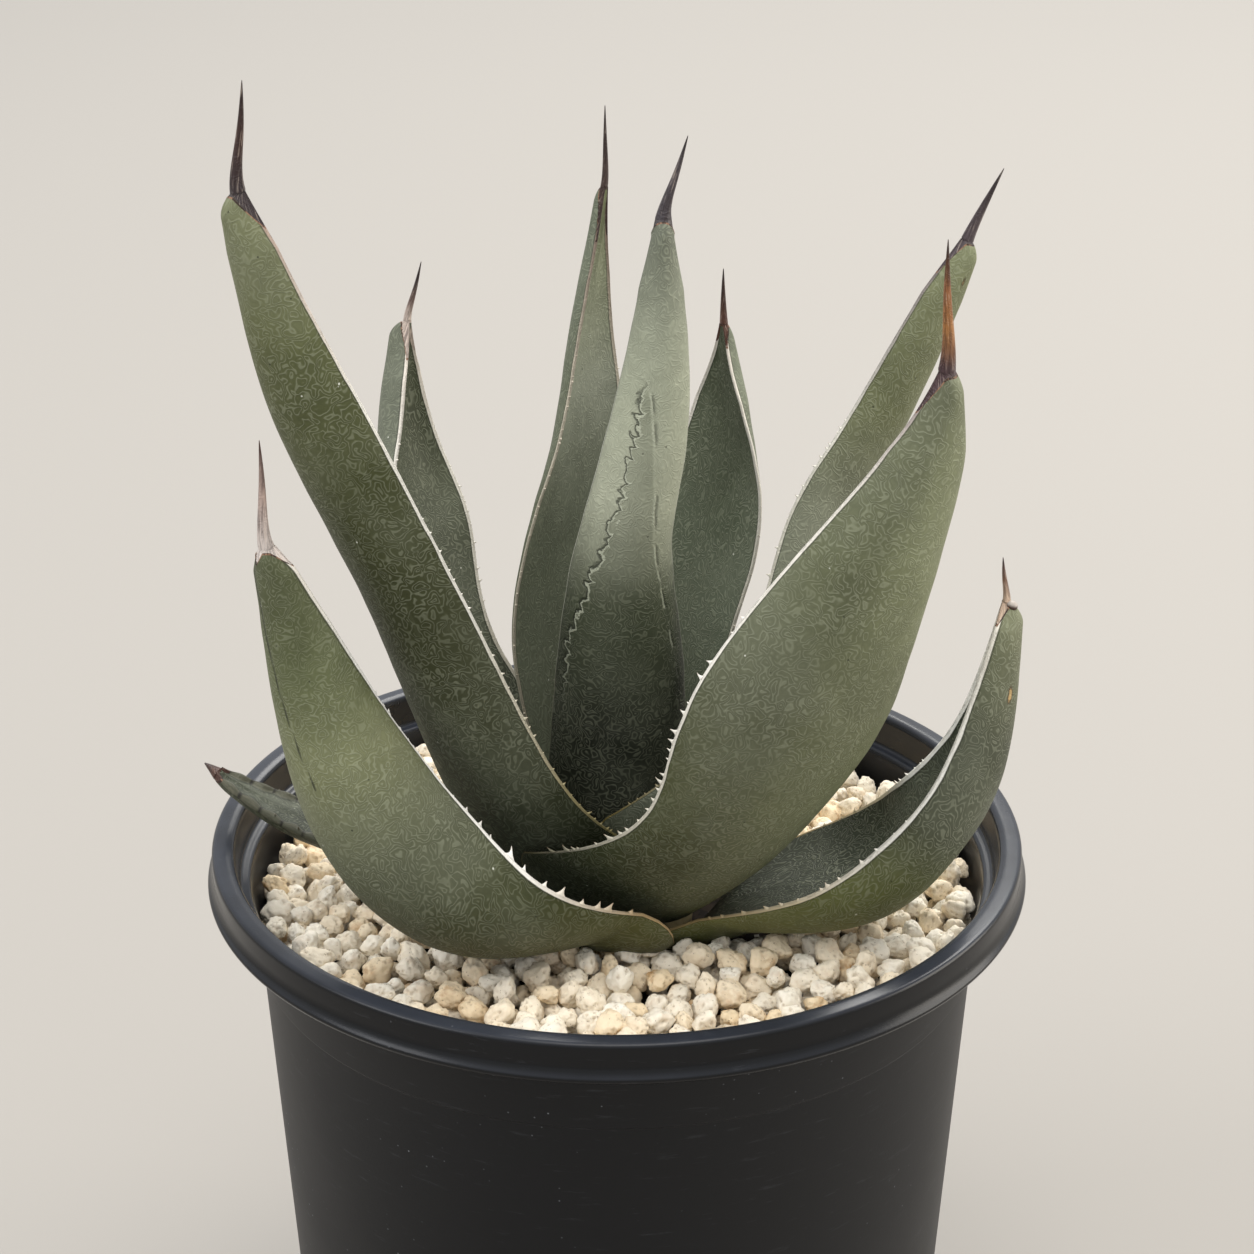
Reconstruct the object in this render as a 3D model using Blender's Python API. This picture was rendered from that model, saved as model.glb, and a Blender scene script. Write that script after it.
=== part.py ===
"""Potted agave: a rosette of thick, channelled leaves with terminal spines, growing in a black
nursery pot under a top-dressing of pale pumice gravel.

Metres, +Z up. The origin is the centre of the pot's underside, on the pot's axis, and -Y is the front.
"""

import math
import random

import bmesh
import bpy
import numpy as np

MM = 0.001
GAP = 0.7  # millimetres kept between neighbours

# ---------------------------------------------------------------- driving dimensions, millimetres
RIM_HEIGHT = 215.0  # top of the rim above the ground
RIM_RADIUS = 115.0  # outer edge of the flat rim top
RIM_INNER_RADIUS = 108.5  # inner edge of the flat rim top
RIM_PLATE = 2.6  # thickness of the rim between its outer skirt and the wall
LIP_RADIUS = 116.7  # bead along the lower edge of the skirt, the widest part of the pot
LIP_DROP = 9.8  # from the rim top down to the bead
SKIRT_THICKNESS = 1.2
NECK_RADIUS = 109.8  # outside of the wall under the rim plate
COLLAR_RADIUS = 105.8  # outside of the wall under the neck
LEDGE_RADIUS = 104.7  # inner edge of the stacking ledge
LEDGE_DROP = 10.0  # from the rim top down to that ledge
LINE_DROP = 33.4  # from the rim top down to the line round the wall
WALL_RADIUS = 102.5  # wall just under that line
WALL_TAPER = 0.0553  # radius lost for each millimetre of height
WALL_THICKNESS = 1.8
FLOOR_THICKNESS = 2.6
DRAIN_HOLES = 6
DRAIN_HOLE_RADIUS = 7.0
DRAIN_CIRCLE_RADIUS = 62.0
POT_SEGMENTS = 48

GRAVEL_TOP = 197.0
GRAVEL_DEPTH = 11.0
GRAVEL_RADIUS = 102.6
GRAVEL_RINGS = (102.6, 95.0, 87.0, 77.0, 66.0, 54.0, 42.0, 28.0, 14.0)  # radii of its lumpy top
GRAVEL_DIP = 1.6  # deepest hollow between its lumps
GRAVEL_SEGMENTS = 48
MIX_SEGMENTS = 32

STEM_CENTRE = (5.0, -5.0)
STEM_PROFILE = ((150.0, 5.0), (158.0, 10.0), (174.0, 15.0), (191.0, 17.0), (201.0, 14.0), (212.0, 8.0))
STEM_SEGMENTS = 20
ROOTS = 5
ROOT_START = 172.0
ROOT_PATH = ((4.0, 0.0, 4.2), (23.0, 12.5, 3.4), (43.5, 39.0, 2.6), (58.0, 78.0, 1.2))  # reach, drop, radius
ROOT_SEGMENTS = 8

KEEL_THICKNESS = (6.5, 7.5, 7.0, 5.5, 3.6)  # of a blade along its middle, from the base to the spine
MARGIN_THICKNESS = 1.4
BASE_LENGTH = 13.0  # hidden foot of each leaf, under its visible base
BASE_SHRINK = 0.86
HOOD_LENGTH = 7.0  # over which the end of a blade closes round its spine
BLADE_RINGS = 14
HOOD_SHARES = (0.5, 0.85, 1.0)
SPINE_SHARES = (0.05, 0.35, 0.7, 1.0)
SPINE_TIP_RADIUS = 0.25
ACROSS = 7  # points across each face of a blade

# Each leaf: the compass direction of its base in degrees from +X, the line midway between its two
# margins from base to spine, its half width measured round the section, half of the angle that the
# section curls through (base, middle, tip), its twist in degrees (base, middle, tip), then the tip of its
# spine and the radius of the spine's root. A furled leaf is solid: its channel is still closed.
# The leaves are listed from the youngest to the oldest, and each makes room for those before it.
LEAVES = {
    "leaf_heart": dict(
        azimuth=-90,
        line=((5, -5, 214), (5, -4, 252), (6, -4, 286), (8, -4, 314), (10, -4, 334)),
        half_width=(12, 14, 12, 8, 5),
        curl=(80, 80, 80),
        twist=(0, 0, 0),
        spine=(11, -4, 350),
        spine_radius=1.5,
        furled=True,
    ),
    "leaf_back_centre": dict(
        azimuth=100,
        line=((5, -3, 214), (-13, 11, 268), (-8, 23, 314), (-6, 26, 350), (-3, 29, 394)),
        half_width=(24, 24, 20, 13, 7),
        curl=(78, 67, 79),
        twist=(-4, -36, -61),
        spine=(-3, 30, 416),
        spine_radius=1.5,
    ),
    "leaf_front_centre": dict(
        azimuth=-92,
        line=((-1, -11, 212), (1, -20, 273), (2, -26, 313), (9, -26, 350), (12, -23, 400)),
        half_width=(27, 23, 17, 14, 6),
        curl=(70, 73, 88),
        twist=(-11, -9, -2),
        spine=(18, -22, 421),
        spine_radius=1.9,
    ),
    "leaf_back_right": dict(
        azimuth=60,
        line=((9, 3, 213), (13, 23, 256), (25, 37, 292), (29, 48, 321), (30, 52, 348)),
        half_width=(24, 24, 23, 16, 6),
        curl=(64, 52, 88),
        twist=(3, 10, 36),
        spine=(30, 53, 364),
        spine_radius=1.6,
    ),
    "leaf_back_left": dict(
        azimuth=150,
        line=((-9, 3, 215), (-44, 18, 255), (-52, 33, 291), (-57, 46, 315), (-59, 52, 349)),
        half_width=(25, 24, 24, 20, 10),
        curl=(57, 63, 87),
        twist=(-1, -5, -27),
        spine=(-55, 53, 366),
        spine_radius=1.6,
    ),
    "leaf_back_low": dict(
        azimuth=95,
        line=((3, 22, 208), (-1, 45, 222), (-4, 63, 244), (-8, 74, 266), (-10, 80, 288)),
        half_width=(26, 26, 22, 16, 8),
        curl=(50, 65, 85),
        twist=(0, 0, 0),
        spine=(-10, 82, 302),
        spine_radius=1.6,
    ),
    "leaf_right_tall": dict(
        azimuth=-28,
        line=((14, -2, 221), (43, -6, 260), (54, 2, 309), (70, 8, 341), (92, 7, 386)),
        half_width=(44, 35, 28, 20, 9),
        curl=(72, 60, 77),
        twist=(17, -3, 12),
        spine=(101, 7, 405),
        spine_radius=1.8,
    ),
    "leaf_left_tall": dict(
        azimuth=205,
        line=((-13, -7, 220), (-31, -26, 248), (-50, -36, 299), (-73, -39, 357), (-91, -44, 413)),
        half_width=(38, 31, 25, 24, 10),
        curl=(66, 64, 88),
        twist=(-16, -19, -9),
        spine=(-89, -44, 440),
        spine_radius=2.3,
    ),
    "leaf_front_right": dict(
        azimuth=-76,
        line=((15, -24, 215), (33, -53, 249), (48, -63, 294), (69, -64, 343), (79, -69, 376)),
        half_width=(47, 33, 41, 26, 8),
        curl=(57, 61, 88),
        twist=(9, -21, -42),
        spine=(78, -72, 409),
        spine_radius=2.4,
    ),
    "leaf_left_low": dict(
        azimuth=237,
        line=((-18, -34, 210), (-40, -54, 224), (-64, -54, 253), (-77, -51, 287), (-87, -61, 327)),
        half_width=(35, 31, 29, 20, 7),
        curl=(42, 90, 85),
        twist=(-9, -25, -5),
        spine=(-87, -64, 356),
        spine_radius=1.9,
    ),
    "leaf_right_low": dict(
        azimuth=-17,
        line=((40, -14, 207), (62, -28, 223), (76, -34, 238), (90, -36, 260), (102, -34, 300)),
        half_width=(36, 39, 33, 25, 10),
        curl=(48, 88, 80),
        twist=(9, -2, -4),
        spine=(101, -33, 312),
        spine_radius=1.5,
    ),
    "leaf_left_stub": dict(
        azimuth=176,
        line=((-36, -3, 206), (-62, -4, 211), (-84, -1, 216), (-100, 2, 222), (-114, 6, 229)),
        half_width=(15, 14, 12, 9, 5),
        curl=(40, 60, 80),
        twist=(0, 0, 0),
        spine=(-118, 8, 231),
        spine_radius=1.9,
    ),
}


def clear_scene():
    for thing in list(bpy.data.objects):
        bpy.data.objects.remove(thing, do_unlink=True)


def material(name, colour, roughness):
    made = bpy.data.materials.new(name)
    made.use_nodes = True
    shader = made.node_tree.nodes["Principled BSDF"]
    shader.inputs["Base Color"].default_value = (*colour, 1.0)
    shader.inputs["Roughness"].default_value = roughness
    made.diffuse_color = (*colour, 1.0)
    return made


def circle(radius, height, count, centre=(0.0, 0.0)):
    angle = np.arange(count) * math.tau / count
    x = centre[0] + radius * np.cos(angle)
    y = centre[1] + radius * np.sin(angle)
    return np.stack([x, y, np.full(count, float(height))], axis=1)


def shade(mesh):
    mesh.shade_smooth()
    mesh.set_sharp_from_angle(angle=math.radians(45))


def lofted(name, rings, finish):
    """A solid through closed rings of points in millimetres, with flat ends."""
    bm = bmesh.new()
    rows = [[bm.verts.new(point * MM) for point in ring] for ring in rings]
    count = len(rows[0])
    for lower, upper in zip(rows, rows[1:]):
        for i in range(count):
            j = (i + 1) % count
            bm.faces.new((lower[i], lower[j], upper[j], upper[i]))
    bm.faces.new(rows[0][::-1])
    bm.faces.new(rows[-1])
    bmesh.ops.triangulate(bm, faces=[face for face in bm.faces if len(face.verts) > 4])
    bmesh.ops.recalc_face_normals(bm, faces=bm.faces)
    mesh = bpy.data.meshes.new(name)
    bm.to_mesh(mesh)
    bm.free()
    shade(mesh)
    mesh.materials.append(finish)
    made = bpy.data.objects.new(name, mesh)
    bpy.context.scene.collection.objects.link(made)
    return made


def hidden(helper):
    helper.hide_render = True
    helper.display_type = "WIRE"
    return helper


def swollen(source):
    """A hidden copy of an object, grown by the gap, for cutting room for it in its neighbours."""
    copy = source.copy()
    copy.data = source.data.copy()
    copy.name = "room_for_" + source.name
    bpy.context.scene.collection.objects.link(copy)
    grow = copy.modifiers.new("grow", "DISPLACE")
    grow.strength = GAP * MM
    grow.mid_level = 0.0
    return hidden(copy)


def bodies_of(bm):
    """The mesh's separate bodies as lists of faces, smallest first."""
    bodies = []
    seen = set()
    for face in bm.faces:
        if face in seen:
            continue
        body = [face]
        seen.add(face)
        for member in body:
            for edge in member.edges:
                fresh = [other for other in edge.link_faces if other not in seen]
                seen.update(fresh)
                body.extend(fresh)
        bodies.append(body)
    return sorted(bodies, key=lambda body: sum(face.calc_area() for face in body))


def combined(piece, others, operation):
    """Takes the others out of the piece, or joins them to it, and keeps its largest body."""
    for other in others:
        boolean = piece.modifiers.new("boolean", "BOOLEAN")
        boolean.operation = operation
        boolean.solver = "EXACT"
        boolean.object = other
    bpy.context.view_layer.update()
    evaluated = piece.evaluated_get(bpy.context.evaluated_depsgraph_get())
    bm = bmesh.new()
    bm.from_mesh(evaluated.to_mesh())
    evaluated.to_mesh_clear()
    piece.modifiers.clear()
    bmesh.ops.triangulate(bm, faces=bm.faces)
    for body in bodies_of(bm)[:-1]:
        bmesh.ops.delete(bm, geom=body, context="FACES")
    loose = [vert for vert in bm.verts if not vert.link_faces]
    bmesh.ops.delete(bm, geom=loose, context="VERTS")
    bm.to_mesh(piece.data)
    bm.free()
    shade(piece.data)


# ---------------------------------------------------------------- pot
def wall_radius(height):
    return WALL_RADIUS - WALL_TAPER * (RIM_HEIGHT - LINE_DROP - height)


def pot_profile():
    """(radius, height) from the floor up the outside, over the rim and down the inside."""
    top = RIM_HEIGHT
    line = top - LINE_DROP
    lip = top - LIP_DROP
    ledge = top - LEDGE_DROP
    inside = wall_radius(FLOOR_THICKNESS) - WALL_THICKNESS
    skirt = RIM_RADIUS - SKIRT_THICKNESS
    return [
        (wall_radius(0) - 3.0, 0.0),
        (wall_radius(0) - 0.9, 0.9),
        (wall_radius(3), 3.0),
        (WALL_RADIUS, line),
        (WALL_RADIUS + 0.6, line + 0.6),
        (COLLAR_RADIUS, lip - 2.2),
        (NECK_RADIUS - 0.3, lip - 0.6),
        (NECK_RADIUS, top - RIM_PLATE),
        (skirt - 1.2, top - RIM_PLATE),
        (skirt, lip - 1.0),
        (LIP_RADIUS - 0.8, lip - 1.5),
        (LIP_RADIUS, lip),
        (LIP_RADIUS - 0.8, lip + 1.2),
        (RIM_RADIUS - 0.2, lip + 2.6),
        (RIM_RADIUS, top - 2.4),
        (RIM_RADIUS - 0.7, top - 0.7),
        (RIM_RADIUS - 2.2, top),
        (RIM_INNER_RADIUS + 0.6, top - 0.3),
        (RIM_INNER_RADIUS, top - 1.2),
        (RIM_INNER_RADIUS - 1.2, ledge + 0.5),
        (LEDGE_RADIUS, ledge),
        (LEDGE_RADIUS - 0.7, ledge - 2.0),
        (WALL_RADIUS - WALL_THICKNESS + 0.4, line),
        (inside, FLOOR_THICKNESS + 0.6),
        (inside - 2.0, FLOOR_THICKNESS),
    ]


def make_pot(finish):
    rings = [circle(radius, height, POT_SEGMENTS) for radius, height in pot_profile()]
    pot = lofted("pot", rings, finish)
    cutters = []
    for index in range(DRAIN_HOLES):
        angle = math.tau * index / DRAIN_HOLES
        centre = (DRAIN_CIRCLE_RADIUS * math.cos(angle), DRAIN_CIRCLE_RADIUS * math.sin(angle))
        ends = [circle(DRAIN_HOLE_RADIUS, height, 16, centre) for height in (-5.0, FLOOR_THICKNESS + 5.0)]
        cutters.append(hidden(lofted(f"drain_{index}", ends, finish)))
    combined(pot, cutters, "DIFFERENCE")


# ---------------------------------------------------------------- leaves
def spline(points, shares):
    """Natural cubic curve through points at even shares of its length."""
    points = np.asarray(points, float)
    last = len(points) - 1
    system = np.eye(last + 1)
    right = np.zeros_like(points)
    for i in range(1, last):
        system[i, i - 1 : i + 2] = 1, 4, 1
        right[i] = 6 * (points[i - 1] - 2 * points[i] + points[i + 1])
    bend = np.linalg.solve(system, right)
    place = np.clip(shares, 0, 1) * last
    i = np.minimum(place.astype(int), last - 1)
    t = (place - i)[:, None]
    s = 1 - t
    curve = (bend[i] * s**3 + bend[i + 1] * t**3) / 6
    return curve + (points[i] - bend[i] / 6) * s + (points[i + 1] - bend[i + 1] / 6) * t


def eased(values, shares):
    """Smooth curve through a few values at even shares."""
    values = np.asarray(values, float)
    last = len(values) - 1
    place = np.clip(shares, 0, 1) * last
    i = np.minimum(place.astype(int), last - 1)
    t = place - i
    slope = np.gradient(values)
    start = (2 * t**3 - 3 * t**2 + 1) * values[i] + (t**3 - 2 * t**2 + t) * slope[i]
    end = (3 * t**2 - 2 * t**3) * values[i + 1] + (t**3 - t**2) * slope[i + 1]
    return start + end


def unit(vectors):
    return vectors / np.linalg.norm(vectors, axis=-1, keepdims=True)


def leaf_frames(leaf, shares):
    """Points on the line between the margins, with the directions along it, to one side and outwards."""
    step = 1e-3
    points = spline(leaf["line"], shares)
    along = unit(spline(leaf["line"], shares + step) - spline(leaf["line"], shares - step))
    azimuth = math.radians(leaf["azimuth"])
    level = np.array([-math.sin(azimuth), math.cos(azimuth), 0.0])
    side = unit(level - (along @ level)[:, None] * along)
    out = np.cross(side, along)
    twist = np.radians(eased(leaf["twist"], shares))[:, None]
    turned_side = np.cos(twist) * side + np.sin(twist) * out
    turned_out = np.cos(twist) * out - np.sin(twist) * side
    return points, along, turned_side, turned_out


def blade_shares(leaf):
    """Even steps up the blade, then closer ones through its hood, and how far the hood has closed."""
    line = spline(leaf["line"], np.linspace(0, 1, 60))
    length = np.linalg.norm(np.diff(line, axis=0), axis=1).sum()
    hood = 1 - HOOD_LENGTH / length
    closing = np.concatenate([np.zeros(BLADE_RINGS), HOOD_SHARES])
    shares = np.concatenate([np.linspace(0, hood, BLADE_RINGS), hood + (1 - hood) * np.array(HOOD_SHARES)])
    return shares, closing


def leaf_rings(leaf):
    """Closed rings of points, in millimetres, from the hidden foot to the end of the spine."""
    shares, closing = blade_shares(leaf)
    points, along, side, out = leaf_frames(leaf, shares)
    half = eased(leaf["half_width"], shares)
    curl = np.radians(eased(leaf["curl"], shares))
    narrow = min(1.0, leaf["spine_radius"] * curl[-1] / half[-1])
    radii = half * np.sqrt(1 - closing**2 * (1 - narrow**2)) / curl
    keels = eased(KEEL_THICKNESS, shares)
    across = np.linspace(-1, 1, ACROSS)
    rings = []
    for i, radius in enumerate(radii):
        angle = curl[i] * across
        sideways = radius * np.sin(angle)
        outward = radius * (np.cos(angle) - math.cos(curl[i]))
        keel = min(keels[i], radius * 0.9)
        margin = min(MARGIN_THICKNESS, radius * 0.5)
        wall = margin + (keel - margin) * (1 - across**2)
        inner_side = sideways - np.sin(angle) * wall
        inner_out = outward - np.cos(angle) * wall
        if leaf.get("furled"):
            inner_side = sideways * 0.98
            inner_out = -0.9 * outward - 0.35
        ring_side = np.concatenate([sideways, inner_side[::-1]])
        ring_out = np.concatenate([outward, inner_out[::-1]])
        rings.append(points[i] + ring_side[:, None] * side[i] + ring_out[:, None] * out[i])
    foot = rings[0] - along[0] * BASE_LENGTH
    middle = foot.mean(axis=0)
    rings.insert(0, middle + (foot - middle) * BASE_SHRINK)
    return rings + spine_rings(leaf, points[-1], along[-1], side[-1], out[-1])


def spine_rings(leaf, root, along, side, out):
    """The spine: flatter on its inner face where it leaves the blade, and round from halfway."""
    tip = np.array(leaf["spine"], float)
    length = np.linalg.norm(tip - root)
    angle = np.radians(80) * np.linspace(-1, 1, ACROSS)
    rings = []
    for share in SPINE_SHARES:
        blend = (1 - share) ** 4
        centre = blend * (root + along * length * share) + (1 - blend) * (root + (tip - root) * share)
        radius = leaf["spine_radius"] * (1 - share) ** 0.9 + SPINE_TIP_RADIUS
        roundness = min(1.0, 0.6 + 0.8 * share)
        ring_side = np.concatenate([np.sin(angle), np.sin(angle)[::-1]]) * radius
        ring_out = np.concatenate([np.cos(angle), -roundness * np.cos(angle)]) * radius
        rings.append(centre + ring_side[:, None] * side + ring_out[:, None] * out)
    return rings


# ---------------------------------------------------------------- stem and roots
def root_rings(angle):
    """One thick root that leaves the stem level and turns down."""
    heading = np.array([math.cos(angle), math.sin(angle), 0.0])
    across = np.array([-math.sin(angle), math.cos(angle), 0.0])
    slope = 0.6 * heading + np.array([0.0, 0.0, 0.8])
    turn = np.arange(ROOT_SEGMENTS)[:, None] * math.tau / ROOT_SEGMENTS
    start = np.array([*STEM_CENTRE, ROOT_START])
    rings = []
    for reach, drop, radius in ROOT_PATH:
        centre = start + reach * heading - np.array([0.0, 0.0, drop])
        rings.append(centre + radius * (np.cos(turn) * across + np.sin(turn) * slope))
    return rings


def make_stem(finish):
    rings = [circle(radius, height, STEM_SEGMENTS, STEM_CENTRE) for height, radius in STEM_PROFILE]
    stem = lofted("stem_and_roots", rings, finish)
    roots = []
    for index in range(ROOTS):
        rings = root_rings(math.tau * (index + 0.3) / ROOTS)
        roots.append(hidden(lofted(f"root_{index}", rings, finish)))
    combined(stem, roots, "UNION")
    return stem


# ---------------------------------------------------------------- growing medium
def make_mix(finish):
    top = GRAVEL_TOP - GRAVEL_DEPTH - GAP
    low = FLOOR_THICKNESS + GAP
    clear = WALL_THICKNESS + GAP
    widest = wall_radius(top - 4) - clear
    profile = ((wall_radius(low) - clear - 2.2, low), (wall_radius(low + 2) - clear, low + 2))
    profile += ((widest, top - 4), (widest, top))
    return lofted("potting_mix", [circle(*point, MIX_SEGMENTS) for point in profile], finish)


def make_gravel(finish):
    """The top-dressing as one bed with a lumpy top."""
    lumps = random.Random(7)
    rings = [circle(GRAVEL_RADIUS - 2.4, GRAVEL_TOP - GRAVEL_DEPTH, GRAVEL_SEGMENTS)]
    for radius in GRAVEL_RINGS:
        ring = circle(radius, GRAVEL_TOP, GRAVEL_SEGMENTS)
        if radius < GRAVEL_RADIUS:
            ring[:, 2] -= [GRAVEL_DIP * lumps.random() for _ in ring]
        rings.append(ring)
    return lofted("gravel_bed", rings, finish)


def main():
    clear_scene()
    black_plastic = material("black_polypropylene", (0.018, 0.019, 0.023), 0.42)
    pumice = material("pale_pumice", (0.62, 0.54, 0.42), 0.9)
    peat = material("potting_mix", (0.045, 0.03, 0.02), 0.95)
    leaf_skin = material("waxy_agave_leaf", (0.10, 0.13, 0.075), 0.5)
    root_skin = material("stem_tissue", (0.42, 0.36, 0.22), 0.7)

    make_pot(black_plastic)
    stem = make_stem(root_skin)
    soil = make_mix(peat)
    gravel = make_gravel(pumice)

    around_stem = swollen(stem)
    around_plant = [around_stem]
    for name, leaf in LEAVES.items():
        piece = lofted(name, leaf_rings(leaf), leaf_skin)
        room = swollen(piece)
        combined(piece, around_plant, "DIFFERENCE")
        around_plant.append(room)
    combined(soil, [around_stem], "DIFFERENCE")
    combined(gravel, around_plant, "DIFFERENCE")


main()
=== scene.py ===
import math
import random

import bmesh
import bpy
import numpy as np
from mathutils import Matrix, Vector, noise
from mathutils.bvhtree import BVHTree


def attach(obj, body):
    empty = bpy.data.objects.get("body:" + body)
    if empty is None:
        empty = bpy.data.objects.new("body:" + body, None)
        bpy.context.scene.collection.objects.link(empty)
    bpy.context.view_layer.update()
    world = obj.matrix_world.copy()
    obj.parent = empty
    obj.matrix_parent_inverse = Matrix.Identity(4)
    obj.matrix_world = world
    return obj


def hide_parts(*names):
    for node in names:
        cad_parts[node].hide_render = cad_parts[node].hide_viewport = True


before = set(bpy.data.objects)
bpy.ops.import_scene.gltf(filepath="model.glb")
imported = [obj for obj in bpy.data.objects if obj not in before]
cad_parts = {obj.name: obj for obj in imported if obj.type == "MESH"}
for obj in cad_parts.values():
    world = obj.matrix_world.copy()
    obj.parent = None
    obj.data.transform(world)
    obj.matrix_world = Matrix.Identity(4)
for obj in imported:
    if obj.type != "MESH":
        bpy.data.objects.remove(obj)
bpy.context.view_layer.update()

# ------------------------------------------------------------------------------------------- pot
# A nursery pot: one thin moulding of black polypropylene with a flanged rim. The rim has a flat top,
# a short skirt that ends in a bead, and a ledge inside it on which pots stack.
mm = 0.001
pot_height = 215.0
rim_radius = 115.0
rim_inside = 108.5
bead_radius = 116.7
wall_top_radius = 102.5
wall_top_height = 181.6
wall_taper = 0.0553  # radius lost for each millimetre of height
wall_thickness = 1.8
floor_thickness = 2.6
ledge_height = 205.0
ledge_radius = 104.7
pot_facets = 240


def linear(colour):
    """A hex sRGB colour as linear RGBA."""
    parts = [int(colour[i : i + 2], 16) / 255 for i in (1, 3, 5)]
    return (*[c / 12.92 if c <= 0.04045 else ((c + 0.055) / 1.055) ** 2.4 for c in parts], 1.0)


def add(tree, kind, inputs={}, out=0, **settings):
    """Adds a shader node with its settings, fills or links its inputs, and gives back one output.

    Inputs 0 to 4 of a MapRange are the value, the range it comes from and the range it goes to.
    """
    made = tree.nodes.new("ShaderNode" + kind)
    for name, value in settings.items():
        setattr(made, name, value)
    for key, value in inputs.items():
        if isinstance(value, bpy.types.NodeSocket):
            tree.links.new(value, made.inputs[key])
        else:
            made.inputs[key].default_value = value
    return made.outputs[out]


blend = {"out": 2, "data_type": "RGBA"}  # a Mix of 6 and 7 by the share 0
scaled = {"operation": "MULTIPLY_ADD"}


def new_finish(name, constants):
    """A material with a Principled shader, and constants set on the shader's own sockets."""
    made = bpy.data.materials.new(name)
    made.use_nodes = True
    shader = made.node_tree.nodes["Principled BSDF"]
    for key, value in constants.items():
        shader.inputs[key].default_value = value
    return made, made.node_tree, shader


def piece_from(name, mesh, finish, sharp=180):
    """An object that rides on the pot, shaded smooth except across edges sharper than an angle."""
    mesh.shade_smooth()
    if sharp < 180:
        mesh.set_sharp_from_angle(angle=math.radians(sharp))
    mesh.materials.append(finish)
    made = bpy.data.objects.new(name, mesh)
    bpy.context.scene.collection.objects.link(made)
    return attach(made, "root")


def skinned(name, rings, finish, sharp=180, **measures):
    """A closed skin over rings of points in millimetres, with measures: values or colours of the points."""
    rings = np.asarray(rings, float)
    rows, count = rings.shape[:2]
    index = np.arange(rows * count).reshape(rows, count)
    following = np.roll(index, -1, axis=1)
    quads = np.stack([index[:-1], following[:-1], following[1:], index[1:]], axis=-1).reshape(-1, 4)
    mesh = bpy.data.meshes.new(name)
    faces = quads.tolist() + [index[0, ::-1].tolist(), index[-1].tolist()]
    a, b, c, d = np.moveaxis(rings.reshape(-1, 3)[quads], 1, 0)
    volume = np.sum(a * (np.cross(b, c) + np.cross(c, d)))
    if volume < 0:  # the faces look inwards
        faces = [face[::-1] for face in faces]
    mesh.from_pydata((rings.reshape(-1, 3) * mm).tolist(), [], faces)
    for key, values in measures.items():
        values = np.asarray(values, np.float32)
        kind, slot = ("FLOAT_COLOR", "color") if values.ndim == 3 else ("FLOAT", "value")
        mesh.attributes.new(key, kind, "POINT").data.foreach_set(slot, values.ravel())
    return piece_from(name, mesh, finish, sharp)


def filleted(corners, steps=5):
    """A profile from corners of (radius, height, fillet), each rounded by its fillet."""
    points = []
    for i, (radius, height, fillet) in enumerate(corners):
        here = np.array([radius, height])
        if not fillet or i in (0, len(corners) - 1):
            points.append(here)
            continue
        legs = [np.array(corners[j][:2]) - here for j in (i - 1, i + 1)]
        cuts = [here + leg * min(fillet / np.linalg.norm(leg), 0.45) for leg in legs]
        for t in np.linspace(0, 1, steps + 1):
            points.append((1 - t) ** 2 * cuts[0] + 2 * t * (1 - t) * here + t**2 * cuts[1])
    return points


def circle(radius, height, count, centre=(0.0, 0.0)):
    turn = np.arange(count) * math.tau / count
    x = centre[0] + radius * np.cos(turn)
    y = centre[1] + radius * np.sin(turn)
    return np.stack([x, y, np.full(count, float(height))], axis=1)


def wall_at(height):
    return wall_top_radius - wall_taper * (wall_top_height - height)


# Moulded polypropylene: a satin black, glossier on the rim, with the fine grain of the mould, a few pale
# scuffs, and a pale blue-grey on what faces up that is partly a dusty film from watering and partly a
# painted reflection.
satin = {"IOR": 1.49, "Specular IOR Level": 0.28}
black_plastic, tree, shader = new_finish("moulded_black_polypropylene", satin)
place = add(tree, "TexCoord", out="Object")
grain = add(tree, "TexNoise", {"Vector": place, "Scale": 1 / (0.9 * mm), "Detail": 3.0})
cloud = add(tree, "TexNoise", {"Vector": place, "Scale": 1 / (45 * mm), "Detail": 4.0, "Roughness": 0.6})
speck = add(tree, "TexVoronoi", {"Vector": place, "Scale": 1 / (3.5 * mm)}, out="Distance")
speck = add(tree, "MapRange", {0: speck, 1: 0.04, 2: 0.09, 3: 0.8, 4: 0.0})
thin = add(tree, "MapRange", {0: cloud, 1: 0.5, 2: 0.68})
speck = add(tree, "Math", {0: speck, 1: thin}, operation="MULTIPLY")
stretch = add(tree, "Mapping", {"Vector": place, "Scale": (1.0, 1.0, 9.0)})
scuff = add(tree, "TexNoise", {"Vector": stretch, "Scale": 1 / (14 * mm), "Detail": 5.0, "Roughness": 0.7})
scuff = add(tree, "MapRange", {0: scuff, 1: 0.6, 2: 0.78, 4: 0.35})
facing = add(tree, "SeparateXYZ", {0: add(tree, "NewGeometry", out="Normal")}, out="Z")
# Painted reflection mixed with a dusty film: faces that look upwards turn pale blue-grey.
upward = add(tree, "MapRange", {0: facing, 1: 0.4, 2: 1.0, 4: 0.7})
dust_and_sheen = add(tree, "Math", {0: upward, 1: cloud}, operation="MULTIPLY")
colour = add(tree, "Mix", {0: cloud, 6: linear("#07080a"), 7: linear("#0c0d10")}, **blend)
colour = add(tree, "Mix", {0: dust_and_sheen, 6: colour, 7: linear("#474c58")}, **blend)
colour = add(tree, "Mix", {0: scuff, 6: colour, 7: linear("#4a4c50")}, **blend)
colour = add(tree, "Mix", {0: speck, 6: colour, 7: linear("#8c8f94")}, **blend)
tree.links.new(colour, shader.inputs["Base Color"])
shine = add(tree, "SeparateXYZ", {0: place}, out="Z")
shine = add(tree, "MapRange", {0: shine, 1: 202 * mm, 2: 204 * mm, 3: 0.42, 4: 0.2})
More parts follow.
